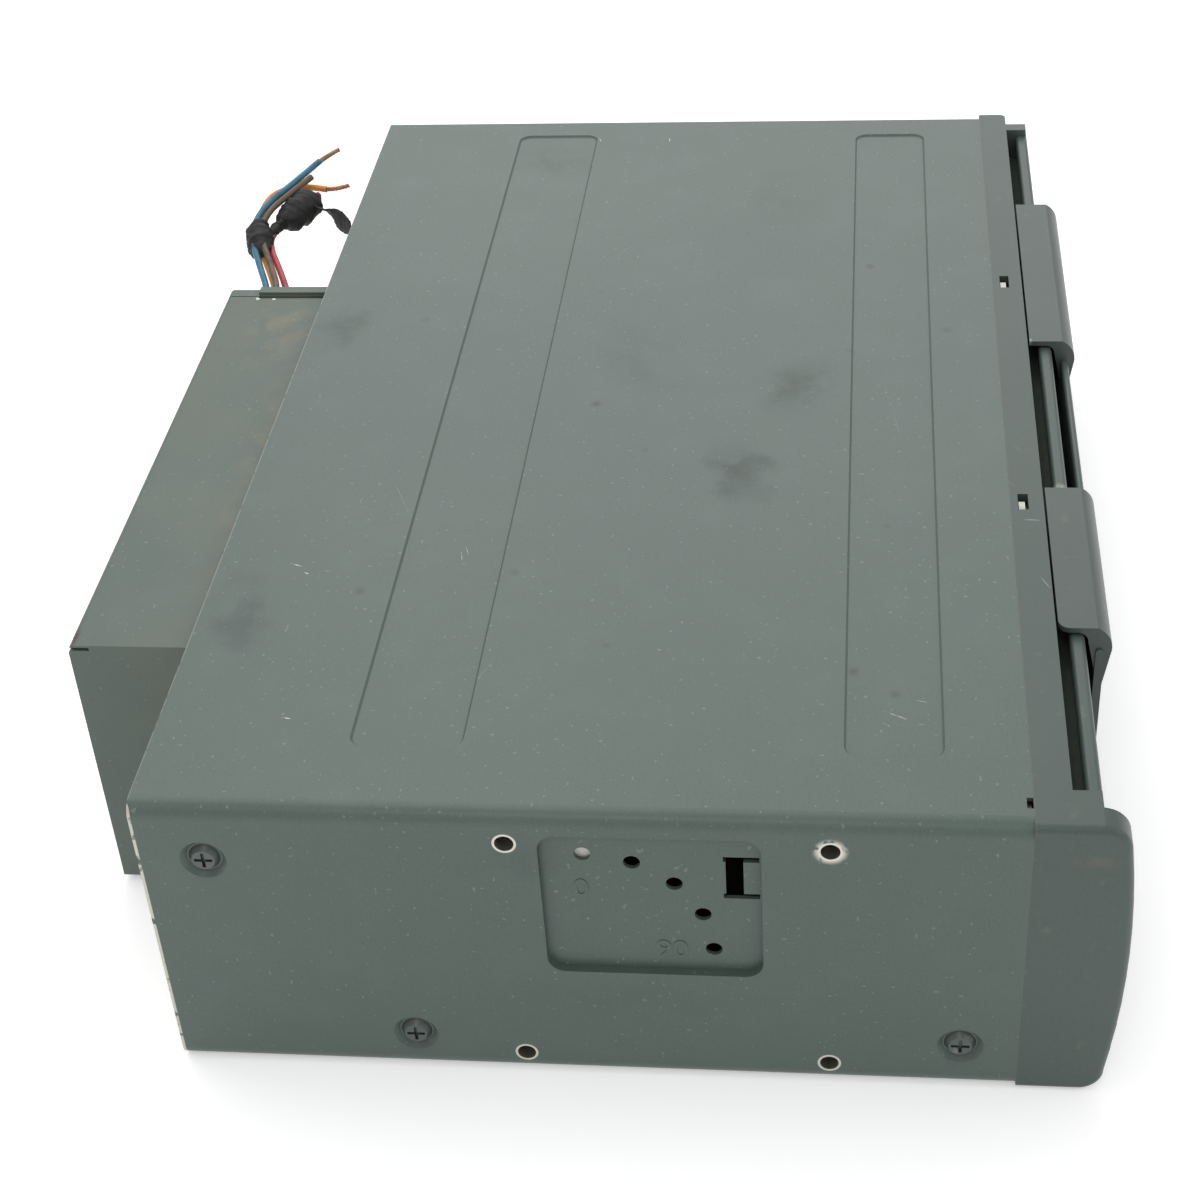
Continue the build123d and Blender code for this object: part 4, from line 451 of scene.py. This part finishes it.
TAPE = Finish("cloth_tape", "121213", 0.62, layers=(
    # threads of the cloth are about 0.35 mm apart, drawn at 0.5 mm
    Layer(Pattern.WEAVE, (0.5, 0.5, 1.0), (0.15, 0.7), "2c2c2d", 0.7, bump=0.05),
    Layer(Pattern.NOISE, (3.5, 3.5, 3.5), (0.45, 0.75), "35342f", 0.5, bump=0.08, rough=0.15, detail=5.0),
))
DULL_COPPER = Finish("tarnished_copper_strand", "a08467", 0.42, 0.7, layers=(
    Layer(Pattern.NOISE, (0.4, 0.4, 0.4), (0.4, 0.7), "5d3a28", 0.6, rough=0.2, detail=3.0),
    Layer(Pattern.NOISE, (1.5, 1.5, 1.5), (0.5, 0.7), "c3b095", 0.4, detail=3.0),
))
PINK_COPPER = replace(DULL_COPPER, name="bare_copper_strand", colour="d08a6c")
PRINT_PAINT = replace(COVER_COAT, name="powder_coat_figures", layers=coat_layers(False))


def jacket(name: str, colour: str, dirt: str) -> Finish:
    """Soft PVC on a lead.

    Args:
        name: The material's name.
        colour: The jacket's colour.
        dirt: The colour it has where it was handled.

    Returns:
        The finish.
    """
    return Finish(name, colour, 0.4, layers=(
        Layer(Pattern.NOISE, (2.5, 2.5, 2.5), (0.4, 0.75), dirt, 0.6, rough=0.15, detail=5.0),
        Layer(Pattern.NOISE, (0.4, 0.4, 0.4), (0.3, 0.7), dirt, 0.2, bump=0.012, detail=2.0),
    ))


SLOT_FINISH = {
    "case_paint": COVER_COAT, "front_plastic": FRONT_PLASTIC, "zinc_steel": ZINC, "black_screw": BLACK_SCREW,
    "bright_steel": BRIGHT, "aluminium": ALUMINIUM, "black_plastic": BLACK_PLASTIC,
    "grey_plastic": GREY_PLASTIC, "white_plastic": ACETAL, "rubber": RUBBER, "board": BOARD, "chip": CHIP, "brass": BRASS, "lens": LENS,
    "tape": TAPE,
    "blue_wire": jacket("pvc_blue", "2f7592", "2c4550"),
    "brown_wire": jacket("pvc_brown", "665541", "3a3128"),
    "red_wire": jacket("pvc_red", "c2414b", "7a3238"),
    "orange_wire": jacket("pvc_orange", "e6983a", "a8612f"),
}
NODE_FINISH = {"rear_box_cover": BOX_COAT, "rear_box_base": BOX_COAT, "door_flap": DOOR_PLASTIC}


# ------------------------------------------------------------------ pieces
def place_piece(name: str, mesh: bpy.types.Mesh | bpy.types.Curve, body: str, finish: Finish,
                stands_for: Sequence[str] = (), smooth: float = 40.0) -> bpy.types.Object:
    """Put a finished shape in the scene, riding on its body.

    Args:
        name: The piece's name.
        mesh: Its mesh or curve, already in place.
        body: The CAD body that it moves with.
        finish: What it is dressed in.
        stands_for: CAD nodes that it is shown instead of.
        smooth: Angle in degrees under which a mesh's edges are smooth.

    Returns:
        The new object.
    """
    made = bpy.data.objects.new(name, mesh)
    bpy.context.scene.collection.objects.link(made)
    mesh.materials.append(finish.material())
    if isinstance(mesh, bpy.types.Mesh):
        mesh.set_sharp_from_angle(angle=math.radians(smooth))
        for face in mesh.polygons:
            face.use_smooth = True
    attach(made, body)
    if stands_for:
        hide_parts(*stands_for)
    log.info("%s rides on %s", name, body)
    return made


def to_mesh(shape: bmesh.types.BMesh, name: str) -> bpy.types.Mesh:
    """Write a bmesh to a new mesh with its faces outwards.

    Args:
        shape: The bmesh, which is freed.
        name: The mesh's name.

    Returns:
        The mesh.
    """
    bmesh.ops.recalc_face_normals(shape, faces=shape.faces)
    mesh = bpy.data.meshes.new(name)
    shape.to_mesh(mesh)
    shape.free()
    return mesh


@dataclass(frozen=True)
class Bead:
    """One point of a cord or of wound tape."""

    at: Triple
    radius: float = 1.0
    tilt: float = 0.0


def spline_curve(name: str, beads: Sequence[Bead]) -> bpy.types.Curve:
    """Make a smooth NURBS curve that has the given points as its net.

    Args:
        name: The curve's name.
        beads: Its points in millimetres, each with the radius and twist there.

    Returns:
        The curve, with no thickness yet.
    """
    curve = bpy.data.curves.new(name, "CURVE")
    curve.dimensions = "3D"
    curve.resolution_u = 16
    spline = curve.splines.new("NURBS")
    spline.points.add(len(beads) - 1)
    for point, bead in zip(spline.points, beads):
        point.co = (*mm(*bead.at), 1.0)
        point.radius = bead.radius
        point.tilt = math.radians(bead.tilt)
    spline.order_u = 3
    spline.use_endpoint_u = True
    return curve


def curve_mesh(curve: bpy.types.Curve | bpy.types.TextCurve) -> bpy.types.Mesh:
    """Turn a curve into a mesh without a material.

    Args:
        curve: The curve, with its thickness set.

    Returns:
        The mesh.
    """
    holder = bpy.data.objects.new(curve.name, curve)
    mesh = bpy.data.meshes.new_from_object(holder)
    bpy.data.objects.remove(holder)
    mesh.materials.clear()
    return mesh


@dataclass
class Lead:
    """One insulated lead, from the grommet to its bare end."""

    node: str
    slot: str
    length: float
    points: tuple[Triple, ...]
    bare: tuple[Triple, ...] = ()
    copper: Finish = DULL_COPPER
    diameter: float = 1.6
    strand_radius: float = 0.3
    strand_count: int = 5
    strand_steps: int = 12
    strand_twist: float = 0.14      # turns per step
    strand_spread: float = 0.42     # from the middle of the bundle to a strand's middle
    strand_taper: float = 0.25      # share of the spread that is lost at the tip

    def strands(self) -> bpy.types.Mesh:
        """The twisted copper strands past the jacket's cut end.

        Returns:
            One mesh with all the strands.
        """
        shape = bmesh.new()
        start, bend, end = (Vector(at) for at in self.bare)
        shares = [step / self.strand_steps for step in range(self.strand_steps + 1)]
        line = [start.lerp(bend, share).lerp(bend.lerp(end, share), share) for share in shares]
        for strand in range(self.strand_count):
            beads = []
            for step, spot in enumerate(line):
                around = math.tau * (strand / self.strand_count + step * self.strand_twist)
                out = self.strand_spread * (1.0 - self.strand_taper * step / len(line))
                swing = Vector((0.25 * math.cos(around), math.cos(around), math.sin(around))) * out
                beads.append(Bead(tuple(spot + swing)))
            curve = spline_curve(self.node + "_strand", beads[:len(line) - strand % 3])
            curve.bevel_depth = self.strand_radius * MM
            curve.bevel_resolution = 2
            curve.resolution_u = 3
            curve.use_fill_caps = True
            shape.from_mesh(curve_mesh(curve))
        return to_mesh(shape, self.node + "_strands")

    def build(self) -> None:
        curve = spline_curve(self.node + "_lead", [Bead(at) for at in self.points])
        curve.bevel_depth = self.diameter / 2 * MM
        curve.bevel_resolution = 5
        curve.use_fill_caps = True
        lead = place_piece(self.node + "_lead", curve, "case", SLOT_FINISH[self.slot],
                           (self.node,))
        if self.bare:
            place_piece(self.node + "_strands", self.strands(), "case", self.copper)


@dataclass
class TapeWrap:
    """Cloth tape wound in overlapping turns round the leads, with a loose tail."""

    binding: tuple[Bead, ...] = (
        Bead((73.4, 98.2, 54.3), 1.7), Bead((74.6, 98.7, 54.7), 2.8), Bead((77.6, 99.8, 55.6), 3.5),
        Bead((80.8, 100.6, 56.5), 3.4), Bead((83.6, 100.9, 57.0), 2.9), Bead((85.2, 100.7, 57.3), 1.8),
    )
    neck: tuple[Bead, ...] = (
        Bead((79.6, 98.6, 55.2), 1.6), Bead((83.0, 98.6, 55.2), 1.6), Bead((86.6, 97.7, 55.3), 1.5),
        Bead((89.6, 96.5, 55.5), 1.7), Bead((92.4, 95.2, 55.8), 2.4),
    )
    lump: tuple[Bead, ...] = (
        Bead((89.0, 96.8, 55.4), 2.0), Bead((90.4, 96.0, 55.5), 3.3), Bead((93.2, 94.4, 55.7), 4.0),
        Bead((96.4, 92.6, 56.1), 4.2), Bead((99.0, 91.2, 56.5), 3.9), Bead((100.4, 90.4, 56.7), 2.4),
    )
    tail: tuple[Bead, ...] = (
        Bead((97.4, 91.6, 56.8), 0.55, 10), Bead((95.4, 89.6, 56.9), 0.38, 40),
        Bead((93.8, 87.4, 57.0), 0.28, 75), Bead((91.8, 85.0, 57.0), 0.55, 20),
        Bead((89.0, 82.6, 56.9), 1.0, -10), Bead((86.2, 80.4, 56.8), 1.0, -14),
        Bead((83.4, 78.2, 56.8), 0.8, -8),
    )
    tail_width: float = 5.0
    thickness: float = 0.35
    lap: float = 0.34       # step up where a turn lies on the last one
    edge: float = 0.08      # share of a turn over which that step falls
    sink: float = 0.3       # how far the surface is drawn in before the lap and creases
    crease: float = 0.6     # depth of the creases

    def wound(self, name: str, beads: Sequence[Bead], turns: float) -> bmesh.types.BMesh:
        """A wound length of tape, stepped where each turn overlaps the last and creased by the pull.

        Args:
            name: The piece's name.
            beads: Its middle line with the radius at each point.
            turns: How many times the tape goes round.

        Returns:
            The wound length as a bmesh.
        """
        curve = spline_curve(name, beads)
        curve.bevel_depth = MM
        curve.bevel_resolution = 14
        curve.use_fill_caps = True
        shape = bmesh.new()
        shape.from_mesh(curve_mesh(curve))
        bmesh.ops.remove_doubles(shape, verts=shape.verts, dist=0.01 * MM)
        start, end = Vector(beads[0].at), Vector(beads[-1].at)
        along = (end - start).normalized()
        side = along.cross(Vector((0, 0, 1))).normalized()
        up = side.cross(along)
        shape.normal_update()
        push = {}
        for vert in shape.verts:
            spot = vert.co / MM
            share = (spot - start).dot(along) / (end - start).length
            middle = start.lerp(end, min(1.0, max(0.0, share)))
            out = spot - middle
            around = math.atan2(out.dot(up), out.dot(side)) / math.tau
            turn = (share * turns + around) % 1.0
            step = self.lap * (1.0 - turn) if turn > self.edge else self.lap * turn / self.edge
            crease = noise.noise(spot * 0.5) * 0.9 + noise.noise(spot * 1.4) * 0.3
            push[vert] = vert.normal * ((step - self.sink + crease * self.crease) * MM)
        for vert, by in push.items():
            vert.co += by
        return shape

    def ribbon(self) -> bpy.types.Mesh:
        """The loose tail: a limp strip, twisted thin where it leaves the lump.

        Returns:
            The strip's mesh, which has no thickness yet.
        """
        curve = spline_curve("tape_tail", self.tail)
        curve.extrude = self.tail_width / 2 * MM
        curve.twist_mode = "Z_UP"
        shape = bmesh.new()
        shape.from_mesh(curve_mesh(curve))
        bmesh.ops.subdivide_edges(shape, edges=shape.edges, cuts=3, use_grid_fill=True)
        for vert in shape.verts:
            spot = vert.co / MM
            vert.co.z += noise.noise(spot * 0.35) * 0.5 * MM
            vert.co += Vector((noise.noise(spot * 0.9), noise.noise(spot.yzx * 0.9), 0)) * 0.22 * MM
        return to_mesh(shape, "tape_tail")

    def build(self) -> None:
        """Make the wound lengths, one mesh, and the tail."""
        shape = self.wound("tape_binding", self.binding, 2.2)
        for name, beads, turns in (("tape_neck", self.neck, 3.0), ("tape_lump", self.lump, 2.6)):
            part = self.wound(name, beads, turns)
            mesh = to_mesh(part, name)
            shape.from_mesh(mesh)
            bpy.data.meshes.remove(mesh)
        place_piece("tape_wound", to_mesh(shape, "tape_wound"), "case", TAPE, ("tape_wrap",), 60.0)
        tail = place_piece("tape_tail", self.ribbon(), "case", TAPE, (), 60.0)
        solid = tail.modifiers.new("thickness", "SOLIDIFY")
        solid.thickness = self.thickness * MM
        solid.offset = 0.0


@dataclass
class Figure:
    """One raised number beside the lever's peep holes."""

    text: str
    centre: Triple
    height: float = 4.0
    relief: float = 0.18
    capital: float = 0.7    # height of a figure as a share of the font's size

    def build(self) -> None:
        """Make the number as part of the side plate's paint."""
        curve = bpy.data.curves.new("figure_" + self.text, "FONT")
        curve.body = self.text
        curve.size = self.height / self.capital * MM
        curve.align_x = "CENTER"
        curve.align_y = "CENTER"
        curve.extrude = self.relief / 2 * MM
        curve.resolution_u = 4
        mesh = curve_mesh(curve)
        upright = Matrix(((0, 0, -1, 0), (-1, 0, 0, 0), (0, 1, 0, 0), (0, 0, 0, 1)))
        mesh.transform(Matrix.Translation(mm(*self.centre)) @ upright)
        place_piece("figure_" + self.text, mesh, "case", PRINT_PAINT, (), 30.0)


# ------------------------------------------------------------------ studio
@dataclass(frozen=True)
class Softbox:
    """A square soft lamp, with its place, aim and side in metres and its power in watts."""

    name: str
    at: Triple
    aim: Triple
    side: float
    power: float

    def build(self) -> None:
        """Hang the lamp and turn it to its aim."""
        data = bpy.data.lights.new(self.name, "AREA")
        data.shape = "SQUARE"
        data.size = self.side
        data.energy = self.power
        made = bpy.data.objects.new(self.name, data)
        bpy.context.scene.collection.objects.link(made)
        made.location = self.at
        made.rotation_euler = (Vector(self.aim) - Vector(self.at)).to_track_quat("-Z", "Y").to_euler()


@dataclass
class Studio:
    """The camera at the photograph's angle, a pale floor and soft lamps."""

    camera_at: Triple = (-405.959, -46.316, 314.120)
    azimuth: float = 0.140858
    elevation: float = 0.643040
    roll: float = -0.071139
    lens_px: float = 2267.96
    frame_px: float = 1200.0
    world_level: float = 0.7
    floor_glow: float = 0.34
    floor_half: float = 4.0         # half the floor's side in metres
    floor_gap: float = 0.0002       # metres between the floor and the underside
    softboxes: tuple[Softbox, ...] = (
        Softbox("softbox_over", (0.35, 0.45, 1.3), (0, 0, 0.03), 1.1, 5.5),
        Softbox("softbox_front", (-0.2, -1.2, 0.8), (0, 0, 0.03), 0.8, 2.0),
        Softbox("softbox_bend", (-0.95, 0.12, 1.25), (0, 0, 0.03), 0.22, 1.3),
        Softbox("softbox_far", (1.5, 0.1, 1.1), (0.1, 0, 0.06), 1.2, 6.0),
    )

    def camera(self) -> None:
        """Set the camera from the view that was solved from the case's edges."""
        flat = math.cos(self.elevation)
        ahead = Vector((math.cos(self.azimuth) * flat, math.sin(self.azimuth) * flat,
                        -math.sin(self.elevation)))
        right = ahead.cross(Vector((0, 0, 1))).normalized()
        up = right.cross(ahead)
        across = right * math.cos(self.roll) + up * math.sin(self.roll)
        upward = up * math.cos(self.roll) - right * math.sin(self.roll)
        data = bpy.data.cameras.new("camera")
        data.sensor_width = 36.0
        data.sensor_fit = "HORIZONTAL"
        data.lens = self.lens_px / self.frame_px * data.sensor_width
        data.clip_start = 0.01
        made = bpy.data.objects.new("camera", data)
        bpy.context.scene.collection.objects.link(made)
        turn = Matrix((across, upward, -ahead)).transposed().to_4x4()
        made.matrix_world = Matrix.Translation(mm(*self.camera_at)) @ turn
        bpy.context.scene.camera = made

    def floor(self) -> None:
        """A wide pale floor that keeps the shadow."""
        shape = bmesh.new()
        bmesh.ops.create_grid(shape, x_segments=8, y_segments=8, size=self.floor_half)
        bmesh.ops.translate(shape, verts=shape.verts, vec=(0, 0, -self.floor_gap))
        mesh = to_mesh(shape, "floor")
        made = bpy.data.objects.new("floor", mesh)
        bpy.context.scene.collection.objects.link(made)
        paper = bpy.data.materials.new("white_paper")
        paper.use_nodes = True
        tree = paper.node_tree
        shader = tree.nodes["Principled BSDF"]
        shader.inputs["Base Color"].default_value = (0.93, 0.93, 0.93, 1)
        shader.inputs["Roughness"].default_value = 0.9
        shader.inputs["Specular IOR Level"].default_value = 0.1
        path = add_node(tree, "ShaderNodeLightPath")
        seen: Any = path.outputs["Is Camera Ray"]
        for kind in ("Is Glossy Ray", "Is Transmission Ray"):
            seen = add_node(tree, "ShaderNodeMath", {0: seen, 1: path.outputs[kind]},
                            operation="MAXIMUM").outputs[0]
        level = add_node(tree, "ShaderNodeMath", {0: seen, 1: self.floor_glow}, operation="MULTIPLY")
        glow = add_node(tree, "ShaderNodeEmission", {"Color": (1, 1, 1, 1), "Strength": level.outputs[0]})
        both = add_node(tree, "ShaderNodeAddShader", {0: shader.outputs[0], 1: glow.outputs[0]})
        tree.links.new(both.outputs[0], tree.nodes["Material Output"].inputs["Surface"])
        mesh.materials.append(paper)

    def world(self) -> None:
        """Even light from all round, white where the camera sees it, also through glass."""
        world = bpy.data.worlds.new("studio")
        world.use_nodes = True
        tree = world.node_tree
        path = add_node(tree, "ShaderNodeLightPath")
        seen = add_node(tree, "ShaderNodeMath",
                        {0: path.outputs["Is Camera Ray"], 1: path.outputs["Is Transmission Ray"]},
                        operation="MAXIMUM")
        level = add_node(tree, "ShaderNodeMix", {0: seen.outputs[0], 2: self.world_level, 3: 1.0})
        tree.links.new(level.outputs[0], tree.nodes["Background"].inputs["Strength"])
        tree.nodes["Background"].inputs["Color"].default_value = (1, 1, 1, 1)
        bpy.context.scene.world = world

    def build(self) -> None:
        """Set up the whole studio."""
        self.camera()
        self.world()
        self.floor()
        for softbox in self.softboxes:
            softbox.build()
        bpy.context.scene.view_settings.view_transform = "Standard"


@dataclass
class Changer:
    """The whole changer: the CAD nodes dressed, and the pieces added to them."""

    leads: tuple[Lead, ...] = (
        Lead("wire_blue", "blue_wire", 67.2, (
            (48.9, 93.4, 52.6), (57.5, 93.4, 52.6), (69, 98.2, 55.2), (80, 102.4, 57.4),
            (91, 101.6, 58.8), (101, 95.6, 60.4), (111.5, 91.0, 61.2),
        ), ((110.9, 91.3, 61.0), (114.6, 89.6, 61.2), (118.0, 87.2, 61.3))),
        Lead("wire_brown", "brown_wire", 59.3, (
            (48.9, 91.0, 53.6), (57.5, 91.0, 53.6), (68, 95.0, 55.4), (79, 99.9, 57.4),
            (89, 100.2, 58.4), (97, 95.8, 59.6), (104, 91.6, 60.6),
        )),
        Lead("wire_red", "red_wire", 56.8, (
            (48.9, 88.6, 51.6), (57.5, 88.6, 51.6), (68, 92.9, 53.6), (79, 98.0, 55.2),
            (88.5, 97.6, 55.4), (95.5, 93.6, 56.0), (101.5, 89.6, 57.0),
        )),
        Lead("wire_orange", "orange_wire", 69.3, (
            (48.9, 91.2, 50.2), (57.5, 91.2, 50.2), (69, 95.8, 53.0), (81, 101.4, 55.0),
            (92, 102.9, 56.4), (101.5, 101.6, 57.4), (105.5, 94.5, 57.6), (103.5, 88.0, 57.4),
        ), ((103.7, 88.6, 57.4), (103.1, 86.0, 57.4), (105.4, 82.7, 57.5)), PINK_COPPER),
    )
    figures: tuple[Figure, ...] = (Figure("0", (-130.95, -0.6, 44.6)), Figure("90", (-130.95, -15.6, 30.6)))

    def dress(self) -> None:
        """Give every CAD node the finish of its slot, or its own."""
        slots = {row["node"]: row["material_slot"] for row in frame["record"]["subparts"]}
        for name, node in frame["nodes"].items():
            finish = NODE_FINISH.get(name, SLOT_FINISH[slots[name]])
            if not node.material_slots:
                node.data.materials.append(None)
            for slot in node.material_slots:
                slot.material = finish.material()
            log.info("%s dressed in %s", name, finish.name)

    def build(self) -> None:
        """Build the cords first, then everything else."""
        for lead in self.leads:
            lead.build()
        TapeWrap().build()
        self.dress()
        for figure in self.figures:
            figure.build()


def main() -> None:
    """Build the studio and the changer."""
    logging.basicConfig(level=logging.INFO, format="%(message)s")
    Studio().build()
    Changer().build()
    bpy.context.view_layer.update()


if __name__ == "__main__":
    main()
